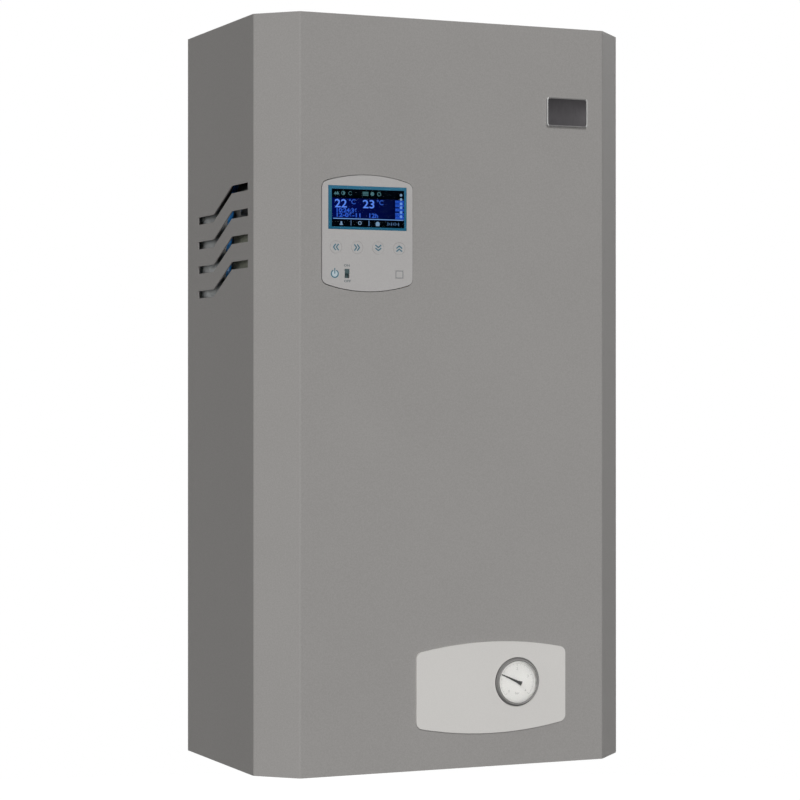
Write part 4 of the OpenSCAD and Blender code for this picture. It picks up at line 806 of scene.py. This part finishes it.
bm = bmesh.new()
x, z = on_screen(0.516, 0.753)
add_bar(bm, x, z, 74.5, 0.75, MARK_Y)
for across, width in ((0.293, 0.3), (0.522, 0.55)):
    x, z = on_screen(across, 0.845)
    add_bar(bm, x, z, width, 5.4, MARK_Y)
for step, tall in enumerate((3.2, 1.6, 3.2, 2.2, 3.2, 1.6, 3.2)):
    x, z = on_screen(0.765 + step * 0.023, 0.85)
    add_bar(bm, x, z, 0.3, tall, MARK_Y)
make_piece(bm, "screen_lines", "chassis", "display_cell", lit_line)
print("last mark at", round(x, 1), round(z, 1))

# %% State signs
bm = bmesh.new()
x, z = on_screen(0.107, 0.172)
add_disc(bm, x - 1.0, z - 0.3, 2.0, MARK_Y, 3)
add_disc(bm, x + 1.3, z - 0.2, 2.2, MARK_Y - 0.01, 3)
x, z = on_screen(0.194, 0.168)
add_arc(bm, x, z, 1.7, 0.6, MARK_Y)
add_bar(bm, x + 0.8, z, 1.6, 2.8, MARK_Y)
x, z = on_screen(0.284, 0.17)
add_arc(bm, x, z, 1.7, 0.4, MARK_Y, 30, 300)
x, z = on_screen(0.478, 0.168)
for row in (-1, 0, 1):
    add_bar(bm, x, z + row * 1.4, 6.2, 0.85, MARK_Y)
x, z = on_screen(0.565, 0.168)
add_disc(bm, x, z, 1.9, MARK_Y)
x, z = on_screen(0.651, 0.168)
add_arc(bm, x, z, 1.7, 0.7, MARK_Y)
make_piece(outward(bm), "screen_green_signs", "chassis", "display_cell", lit_green)
print("screen marks at", round(MARK_Y, 2))

# %% [markdown]
# The arrows on the keys and the power symbol are screen printed in a dark teal ink, and
# the words in a grey one. As thin shapes they can ride on a body: an arrow sits on its
# key and moves with it, and the rest is on the fixed face.

# %% Panel prints
symbol_ink = surface("grey_green_ink", "#2A6071", "#235768", (0.5, 0.6), 10, 0.6, 0.005)
pale_ink = surface("pale_glow_ink", "#A9B6BC", "#A2AFB5", (0.5, 0.6), 10, 0.6, 0.005)
word_ink = surface("dark_grey_ink", "#646B6D", "#5A6163", (0.5, 0.6), 10, 0.6, 0.005)
FACE_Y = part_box("control_panel")[0].y / MM
CHEVRON = (4.0, 1.2, 52)


def key_centre(node):
    """The middle of a key's front in mm."""
    a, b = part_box(node)
    return (a.x + b.x) / 2 / MM, (a.z + b.z) / 2 / MM


def add_chevrons(bm, x, z, turn):
    """Two arrowheads one behind the other, pointing at a turn in degrees."""
    length, width, lean = CHEVRON
    pointing = Matrix.Rotation(math.radians(turn), 2)
    for shift in (-1.7, 1.3):
        for side in (1, -1):
            along = pointing @ Vector((shift, side * 1.5))
            add_bar(bm, x + along.x, z + along.y, length, width, FACE_Y, turn - side * lean)


for node, turn in (("left_key", 180), ("right_key", 0), ("down_key", 270), ("up_key", 90)):
    x, z = key_centre(node)
    bm = bmesh.new()
    add_chevrons(bm, x, z, turn)
    make_piece(bm, node + "_arrows", node, "panel_face", symbol_ink)
print("panel face at", round(FACE_Y, 2))

# %% Square key's outline
x, z = key_centre("square_key")
bm = bmesh.new()
WIDE, TALL, LINE = 7.7, 7.1, 0.5
for side in (-1, 1):
    add_bar(bm, x + side * (WIDE - LINE) / 2, z, LINE, TALL, FACE_Y)
    add_bar(bm, x, z + side * (TALL - LINE) / 2, WIDE - 2 * LINE, LINE, FACE_Y)
make_piece(bm, "square_key_outline", "square_key", "panel_face", word_ink)
print("outline in mm:", WIDE, TALL)

# %% Power symbol and the switch's words
bm = bmesh.new()
POWER = (-129.2, 117.5)
add_arc(bm, *POWER, 3.6, 1.1, FACE_Y, 115, 310, 28)
add_bar(bm, POWER[0], POWER[1] + 2.7, 1.0, 5.4, FACE_Y)
make_piece(outward(bm), "power_symbol", "chassis", "panel_face", symbol_ink)

bm = bmesh.new()
add_disc(bm, *POWER, 3.0, FACE_Y + 0.02)
make_piece(bm, "power_glow", "chassis", "panel_face", pale_ink)

bm = bmesh.new()
add_words(bm, "ON", 2.1, -116.5, 125.6, FACE_Y, 0.12, 1.3)
add_words(bm, "OFF", 2.1, -115.9, 110.4, FACE_Y, 0.12, 1.35)
make_piece(bm, "switch_words", "chassis", "panel_face", word_ink)
print("power symbol at", POWER)

# %% [markdown]
# The gauge's dial is enamelled white with a thin grey scale, from 0 to 4 bar over
# three quarters of a turn. Numbers and marks follow that sweep, so the pointer reads
# true at every angle of its joint.

# %% Dial scale
scale_ink = surface("grey_dial_ink", "#A5A5A3", "#9B9B99", (0.5, 0.6), 10, 0.6, 0.005)
low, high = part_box("gauge_dial")
DIAL = ((low.x + high.x) / 2 / MM, (low.z + high.z) / 2 / MM)
DIAL_Y = low.y / MM
SCALE_R, NUMBER_R = 18.2, 13.0
FULL_SCALE = 4
START, SWEEP = 225, 270


def on_dial(value, radius):
    """The place and the angle of a scale value at a radius in mm."""
    angle = START - SWEEP * value / FULL_SCALE
    x = DIAL[0] + radius * math.cos(math.radians(angle))
    z = DIAL[1] + radius * math.sin(math.radians(angle))
    return x, z, angle


bm = bmesh.new()
for step in range(FULL_SCALE * 5 + 1):
    main = step % 5 == 0
    length = 2.6 if main else 1.4
    x, z, angle = on_dial(step / 5, SCALE_R - length / 2)
    add_bar(bm, x, z, length, 0.4 if main else 0.22, DIAL_Y, angle)
    if main:
        x, z, _ = on_dial(step / 5, NUMBER_R)
        add_words(bm, str(step // 5), 2.6, x, z, DIAL_Y, 0.02)
add_arc(bm, *DIAL, SCALE_R, 0.2, DIAL_Y, START - SWEEP, SWEEP, 64)
add_words(bm, "bar", 2.6, DIAL[0], DIAL[1] - 11.5, DIAL_Y, 0.02)
make_piece(outward(bm), "dial_scale", "chassis", "dial_white", scale_ink)
dial_radius = (high.x - low.x) / 2 / MM
print("dial centre:", [round(v, 1) for v in DIAL], "radius:", round(dial_radius, 1))

# %% [markdown]
# The bezel is turned from brass and plated a dull dark nickel. Its front lip gets a
# lighter copy of the nickel, a painted highlight, and its steps and edges a darker one,
# a painted shade, and that draws the fine double line round the dial. Its faces get
# their finish by their distance from the dial's middle, so the shape stays as it is.

# %% Bezel
# The darker nickel is painted shade on the steps and edges, and the lighter one a painted
# highlight on the lip.
painted_shade_nickel = surface(
    "nickel_with_painted_shade", "#666563", "#5C5B59", (0.45, 0.55), 12, 0.4, 0.01, Metallic=0.2
)
painted_light_nickel = surface(
    "nickel_with_painted_light", "#807F7D", "#767573", (0.45, 0.55), 12, 0.4, 0.01, Metallic=0.2
)
LIP_R = 22.7
bm = joined_copy("gauge_bezel", whole_faces=False)
lip = 0
for face in bm.faces:
    radii = [math.hypot(v.co.x / MM - DIAL[0], v.co.z / MM - DIAL[1]) for v in face.verts]
    if looks_forward(face) and max(radii) < LIP_R:
        face.material_index = 1
        lip += 1
make_piece(
    bm,
    "plated_bezel",
    "chassis",
    "bezel_metal",
    painted_shade_nickel,
    painted_light_nickel,
    stands_for=("gauge_bezel",),
    smooth=30,
)
print("faces on the lip:", lip)

# %% [markdown]
# The badge is a small cast plate, dark brushed, with nothing on it. The left and right
# of its rim carry a painted highlight, and its top and bottom a plain darker grey. That
# cuts across a planar rim, so the copy is first cut in line with them. Then its edges
# are rounded.

# %% Badge
# The left and right of the rim get a painted highlight, and the top and bottom keep a darker,
# duller grey.
painted_highlight_rim = surface(
    "rim_with_painted_highlight", "#ACACAB", "#A0A09F", (0.3, 0.4), 9, 0.5, 0.01, Metallic=0.3
)
dark_brushed = surface(
    "dark_brushed_face", "#474547", "#3B393B", (0.6, 0.7), 12, 0.5, 0.01, (1, 1, 0.06), IOR=1.35
)
dull_rim = surface("dull_dark_rim", "#6B6A69", "#5E5D5D", (0.4, 0.5), 9, 0.5, 0.01)
bm = joined_copy("badge")
low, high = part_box("badge")
RIM = 2 * MM
SUNK_FACE = 0.3 * MM
for x in (low.x + RIM, high.x - RIM):
    bmesh.ops.bisect_plane(
        bm,
        geom=[*bm.verts, *bm.edges, *bm.faces],
        dist=0.001 * MM,
        plane_co=(x, 0, 0),
        plane_no=(1, 0, 0),
    )
for face in bm.faces:
    middle = face.calc_center_median()
    if looks_forward(face) and middle.y > low.y + SUNK_FACE:
        face.material_index = 1
    elif low.x + RIM < middle.x < high.x - RIM:
        face.material_index = 2
front_edges = [
    edge
    for edge in sharp_edges(bm, 0.5)
    if all(v.co.y < low.y + NEAR for v in edge.verts)
]
round_edges(bm, front_edges, 0.25)
finishes = (painted_highlight_rim, dark_brushed, dull_rim)
make_piece(bm, "bare_badge", "cover", "badge_metal", *finishes, stands_for=("badge",))
print("rounded edges on the badge:", len(front_edges))

# %% [markdown]
# Behind the cover, the CAD model has the electrical parts as plain bodies. What makes
# them look real is added here: screw heads with a slot, and the small components of
# the power board. A helper stands a block on the board, another draws a rod, and a
# third makes a screw head, whose slot is pressed into it.

# %% Small part helpers
BOARD_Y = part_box("power_board")[0].y / MM
SUNK = 0.1
# Half a slot's width as a share of its screw's radius, and its depth as one of its height.
SLOT_HALF, SLOT_DEEP = 0.16, 0.4


def add_block(bm, x, z, width, height, depth):
    """A block that stands on the board, a little sunk into it."""
    add_bar(bm, x, z, width, height, BOARD_Y - depth / 2 + SUNK / 2, thick=depth + SUNK)


def add_rod(bm, start, end, radius, sides=14):
    """A rod between two points in mm."""
    a, b = Vector(start) * MM, Vector(end) * MM
    turn = (b - a).to_track_quat("Z", "Y").to_matrix().to_4x4()
    bmesh.ops.create_cone(
        bm,
        cap_ends=True,
        segments=sides,
        radius1=radius * MM,
        radius2=radius * MM,
        depth=(b - a).length,
        matrix=Matrix.Translation((a + b) / 2) @ turn,
    )


def add_screw(bm, x, z, base, radius, height, turn=0):
    """A domed head with a pressed slot, standing on a face, turned by an angle in degrees."""
    head = bmesh.new()
    bmesh.ops.create_cone(
        head, cap_ends=True, segments=20, radius1=radius, radius2=0.85 * radius, depth=height
    )
    for side in (-1, 1):
        bmesh.ops.bisect_plane(
            head,
            geom=[*head.verts, *head.edges, *head.faces],
            dist=1e-6,
            plane_co=(0, side * SLOT_HALF * radius, 0),
            plane_no=(0, 1, 0),
        )
    slot = [
        f
        for f in head.faces
        if f.normal.z > 0.9 and abs(f.calc_center_median().y) < 0.1 * radius
    ]
    deep = -SLOT_DEEP * height
    bmesh.ops.inset_region(head, faces=slot, thickness=0.03 * radius, depth=deep)
    spot = Matrix.Translation(Vector((x, base - height / 2 + SUNK / 2, z)) * MM)
    tilt = Matrix.Rotation(math.radians(turn), 4, "Z")
    whole = spot @ FACING @ tilt @ Matrix.Scale(MM, 4)
    bmesh.ops.transform(head, matrix=whole, verts=head.verts)
    mesh = bpy.data.meshes.new("head")
    head.to_mesh(mesh)
    head.free()
    bm.from_mesh(mesh)
    bpy.data.meshes.remove(mesh)


print("board face at", round(BOARD_Y, 1))

# %% Screw heads
# How far the contactor's and the terminals' screws lie behind their fronts.
CONTACTOR_STEP, TERMINAL_STEP = 37.6, 8
low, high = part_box("contactor")
middle_x, contactor_z = (low.x + high.x) / 2 / MM, (low.z + high.z) / 2 / MM
bm = bmesh.new()
for way in (-1, 0, 1):
    for side in (-1, 1):
        x, z = middle_x + way * 15, contactor_z + side * 29
        add_screw(bm, x, z, low.y / MM + CONTACTOR_STEP, 3.5, 1.8, 35 * way + 50 * side)
low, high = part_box("terminal_block")
terminal_z = (low.z + high.z) / 2 / MM
for way in range(5):
    for side in (-1, 1):
        x, z = middle_x + (way - 2) * 8, terminal_z + side * 11
        add_screw(bm, x, z, low.y / MM + TERMINAL_STEP, 1.9, 1.6, 40 * way + 25 * side)
low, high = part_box("power_board")
for x in (low.x / MM + 6, high.x / MM - 6):
    for z in (low.z / MM + 6, high.z / MM - 6):
        add_screw(bm, x, z, BOARD_Y, 2.9, 1.9, x + z)
low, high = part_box("din_rails")
for x in (low.x / MM + 4.5, high.x / MM - 4.5):
    for z in (contactor_z, terminal_z):
        add_screw(bm, x, z, high.y / MM - 1, 2.6, 1.7, 2 * x)
make_piece(bm, "screw_heads", "chassis", "zinc_fastener", zinc_plate, smooth=30)
print("contactor and terminals at", round(contactor_z), round(terminal_z))

# %% [markdown]
# The board's large components come from the CAD model as one part. A copy gets rounded
# edges and a finish by place: blue relays, a taped transformer, black sleeves with
# bright tops on the capacitors, and a pale plug.

# %% Large components
relay_blue = surface("blue_relay_case", "#2F5E9E", "#28528B", (0.35, 0.45), 16, 0.8, 0.02)
coil_tape = surface("yellow_coil_tape", "#D6B53E", "#C4A232", (0.3, 0.4), 12, 0.9, 0.02)
epoxy = surface("black_epoxy", "#26272A", "#1D1E20", (0.45, 0.6), 8, 0.5, 0.02)
plain_aluminium = surface(
    "plain_aluminium_top", "#C2C4C6", "#AEB0B2", (0.3, 0.4), 6, 0.3, 0.01, Metallic=0.6
)
pale_nylon = surface("pale_nylon", "#D2CDBE", "#C3BEAE", (0.4, 0.5), 10, 0.7, 0.02)
bm = joined_copy("board_parts")
# The relays lie above one line, the transformer and the plug beyond two others.
RELAY_Z, COIL_X, PLUG_X = 0.2345, 0.131, 0.04
RELAY, COIL, SLEEVE, TOP, PLUG = range(5)
kinds = [0] * 5
round_edges(bm, sharp_edges(bm), 0.5)
for face in bm.faces:
    spot = face.calc_center_median()
    kind = SLEEVE
    if spot.z > RELAY_Z:
        kind = RELAY
    elif spot.x > COIL_X:
        kind = COIL
    elif spot.x < PLUG_X:
        kind = PLUG
    elif looks_forward(face):
        kind = TOP
    face.material_index = kind
    kinds[kind] += 1
make_piece(
    bm,
    "finished_board_parts",
    "chassis",
    "black_plastic",
    *(relay_blue, coil_tape, epoxy, plain_aluminium, pale_nylon),
    stands_for=("board_parts",),
    smooth=35,
)
print("faces by kind:", kinds)

# %% [markdown]
# The smaller components are only seen with the cover off, so plain forms do. A chip is
# a black epoxy block on tinned legs. A resistor is a lacquered rod, thicker at its
# ends, on a wire bent down into the board. The green strip has a screw for each way.
# Capacitors are sleeved cans and lacquered discs, and the transformer has an iron core.

# %% Chips and their legs
# The middle, width, height and depth of each chip in mm, and the legs of one side.
CHIPS = (
    (84, 124, 36, 8, 4, 14),
    (136, 150, 16, 6.5, 2.6, 7),
    (54, 112, 10, 6.5, 3.6, 4),
    (146, 108, 20, 8, 3.6, 8),
    (84, 98, 20, 6.5, 3.6, 8),
)
chips, legs = bmesh.new(), bmesh.new()
for x, z, width, height, depth, pins in CHIPS:
    add_block(chips, x, z, width, height, depth)
    for pin in range(pins):
        along = x + (pin - (pins - 1) / 2) * (width - 1) / pins
        for side in (-1, 1):
            add_block(legs, along, z + side * (height / 2 + 0.6), 0.7, 1.8, depth / 2)
round_edges(chips, list(chips.edges), 0.35, 1)
make_piece(chips, "board_chips", "chassis", "black_plastic", epoxy)

RESISTORS = [(152, 124 + 5 * row) for row in range(4)]
RESISTORS += [(112, 150 + 5 * row) for row in range(5)]
RESISTORS += [(54, 84 + 5 * row) for row in range(3)]
LEG_REACH = 7
resistors = bmesh.new()
for x, z in RESISTORS:
    y = BOARD_Y - 1.3
    add_rod(legs, (x - LEG_REACH, y, z), (x + LEG_REACH, y, z), 0.3, 8)
    for end in (-LEG_REACH, LEG_REACH):
        add_block(legs, x + end, z, 0.7, 0.7, 1.5)
    add_rod(resistors, (x - 3, y, z), (x + 3, y, z), 1.05)
    for end in (-1, 1):
        add_rod(resistors, (x + end * 1.9, y, z), (x + end * 3.4, y, z), 1.3)
tinned = surface("tinned_copper", "#BDBFC0", "#A6A8A9", (0.3, 0.42), 5, 0.4, 0.01, Metallic=0.8)
resistor_lacquer = surface("beige_lacquer", "#C9AE7C", "#B99C68", (0.35, 0.45), 5, 0.5, 0.01)
make_piece(legs, "component_legs", "chassis", "zinc_fastener", tinned)
make_piece(resistors, "resistors", "chassis", "flat_cable", resistor_lacquer, smooth=40)
print("chips:", len(CHIPS), "resistors:", len(RESISTORS))

# %% Terminal strip and small capacitors
WAYS, WAY_PITCH, STRIP_X = 8, 10, 84
bm = bmesh.new()
add_block(bm, STRIP_X, 66.5, 82, 9, 12)
add_block(bm, STRIP_X, 73.5, 82, 6, 7)
for way in range(WAYS + 1):
    add_block(bm, STRIP_X + (way - WAYS / 2) * WAY_PITCH, 67, 1, 10, 12.8)
strip_green = surface("green_polyamide", "#3F7D4B", "#356C40", (0.4, 0.5), 14, 0.8, 0.02)
make_piece(bm, "terminal_strip", "chassis", "terminal_grey", strip_green)

bm = bmesh.new()
for way in range(WAYS):
    x = STRIP_X + (way + 0.5 - WAYS / 2) * WAY_PITCH
    add_screw(bm, x, 66.5, BOARD_Y - 12, 2.6, 1.2, 40 * way)
make_piece(bm, "strip_screws", "chassis", "zinc_fastener", zinc_plate, smooth=30)

CANS = ((66, 172, 5, 13), (80, 172, 4, 11), (92, 176, 3, 9), (162, 76, 5, 13))
cans, discs = bmesh.new(), bmesh.new()
for x, z, radius, tall in CANS:
    add_rod(cans, (x, BOARD_Y + SUNK, z), (x, BOARD_Y - tall, z), radius, 20)
for x, z in ((118, 110), (118, 118), (60, 140), (100, 146), (140, 84), (146, 84)):
    add_rod(discs, (x - 1, BOARD_Y - 2.6, z), (x + 1, BOARD_Y - 2.6, z), 2.8)
round_edges(cans, sharp_edges(cans), 0.6)
for face in cans.faces:
    face.material_index = int(looks_forward(face))
round_edges(discs, sharp_edges(discs), 0.7)
disc_lacquer = surface("orange_lacquer", "#C77A33", "#B56A28", (0.35, 0.45), 5, 0.5, 0.01)
sleeve = surface("dark_blue_sleeve", "#2B3350", "#232A43", (0.3, 0.4), 8, 0.5, 0.01)
make_piece(
    cans, "small_capacitors", "chassis", "black_plastic", sleeve, plain_aluminium, smooth=35
)
make_piece(discs, "disc_capacitors", "chassis", "flat_cable", disc_lacquer, smooth=35)
print("ways:", WAYS, "cans:", len(CANS))

# %% Transformer core, clock can and lamps
bm = bmesh.new()
add_block(bm, 153, 212, 43, 13, 23.2)
add_block(bm, 153, 212, 13, 37, 22.8)
round_edges(bm, list(bm.edges), 0.4, 1)
core_iron = surface("varnished_core_iron", "#55504B", "#46423E", (0.4, 0.55), 9, 0.5, 0.03)
make_piece(bm, "transformer_core", "chassis", "pump_iron", core_iron)

bm = bmesh.new()
add_block(bm, 110, 132, 10, 4, 3.5)
add_block(bm, 60, 156, 8, 8, 6)
round_edges(bm, list(bm.edges), 0.8)
make_piece(bm, "metal_cans", "chassis", "zinc_fastener", plain_aluminium, smooth=35)

LAMP_TALL = 5
red_lamp, *_ = start_material("red_lamp", "#C8281E", 0.15, IOR=1.5, Coat_Weight=0.3)
green_lamp, *_ = start_material("green_lamp", "#2FA84A", 0.15, IOR=1.5, Coat_Weight=0.3)
bm = bmesh.new()
for count, x in enumerate((40, 47, 54)):
    start = len(bm.faces)
    add_rod(bm, (x, BOARD_Y + SUNK, 226), (x, BOARD_Y - LAMP_TALL, 226), 1.5)
    bm.faces.ensure_lookup_table()
    for face in bm.faces[start:]:
        face.material_index = int(count > 0)
near_tip = (BOARD_Y - LAMP_TALL + 0.1) * MM
tips = [edge for edge in bm.edges if all(v.co.y < near_tip for v in edge.verts)]
round_edges(bm, tips, 1.2, 4)
make_piece(bm, "board_lamps", "chassis", "knob_red", red_lamp, green_lamp, smooth=60)
print("small parts on the board are done")

# %% [markdown]
# Copper tracks show through the green mask as lighter lines, and white outlines say
# where each component goes. Both are prints, so thin bars do.

# %% Tracks and white outlines
track_green = surface("covered_copper_track", "#3C8A5C", "#327A50", (0.25, 0.35), 12, 0.8, 0.01)
outline_white = surface("white_board_print", "#D9DAD6", "#CCCDC9", (0.5, 0.6), 12, 0.6, 0.005)
tracks = bmesh.new()
for row in range(7):
    add_bar(tracks, 84 - 2.6 * row, 82 + 2.4 * row, 44, 0.7, BOARD_Y)
    add_bar(tracks, 106 + 2.2 * row, 92 + 4 * row, 0.7, 22, BOARD_Y)
    add_bar(tracks, 132 + 3 * row, 172, 0.7, 26 - 2 * row, BOARD_Y)
for row in range(4):
    add_bar(tracks, 96 + 5 * row, 188 + 2.4 * row, 64, 1.6, BOARD_Y)
    add_bar(tracks, 42 + 3 * row, 140, 1.2, 92, BOARD_Y)
make_piece(tracks, "board_tracks", "chassis", "circuit_board", track_green)

prints = bmesh.new()
outlines = [(x, z, w + 3, h + 6) for x, z, w, h, *_ in CHIPS]
outlines += [(x, z, 17, 3.8) for x, z in RESISTORS]
outlines += [(84, 69, 86, 18), (153, 212, 46, 40), (110, 132, 12, 6)]
for x, z, width, height in outlines:
    for side in (-1, 1):
        add_bar(prints, x + side * width / 2, z, 0.35, height, BOARD_Y - 0.02)
        add_bar(prints, x, z + side * height / 2, width, 0.35, BOARD_Y - 0.02)
make_piece(prints, "board_outlines", "chassis", "circuit_board", outline_white)
print("outlines:", len(outlines))

# %% [markdown]
# The floor is pale and lies well below, as the boiler hangs on a wall. To the camera,
# gloss and glass most of it is plain white, as the surroundings, and the rest is a
# dull white that takes the boiler's shadow. To dull surfaces it is darker, so that it
# doesn't light the casing from below.

# %% Floor
FLOOR_Z, FLOOR_RADIUS = -1.6, 8
# The share of the floor that is plain white, and how bright it is there.
PLAIN_SHARE, PLAIN_LIGHT = 0.85, 1.12
bm = bmesh.new()
bmesh.ops.create_circle(bm, cap_ends=True, radius=FLOOR_RADIUS, segments=64)
bmesh.ops.translate(bm, vec=(0, 0, FLOOR_Z), verts=bm.verts)
floor_mesh = bpy.data.meshes.new("floor")
bm.to_mesh(floor_mesh)
bm.free()
floor = bpy.data.objects.new("floor", floor_mesh)
bpy.context.scene.collection.objects.link(floor)

pale_floor = bpy.data.materials.new("pale_floor")
pale_floor.use_nodes = True
tree = pale_floor.node_tree
tree.nodes.clear()
seen = white_rays(tree)
part = add_node(tree, "Math", {0: seen, 1: PLAIN_SHARE}, operation="MULTIPLY")
tone = blend(tree, seen, "#5A5A5A", "#F8F8F8")
dull = add_node(tree, "BsdfDiffuse", {"Color": tone})
white = add_node(tree, "Emission", {"Color": (1, 1, 1, 1), "Strength": PLAIN_LIGHT})
mix = add_node(
    tree, "MixShader", {0: part.outputs[0], 1: dull.outputs[0], 2: white.outputs[0]}
)
add_node(tree, "OutputMaterial", {"Surface": mix.outputs[0]})
floor_mesh.materials.append(pale_floor)
print("floor at", FLOOR_Z)
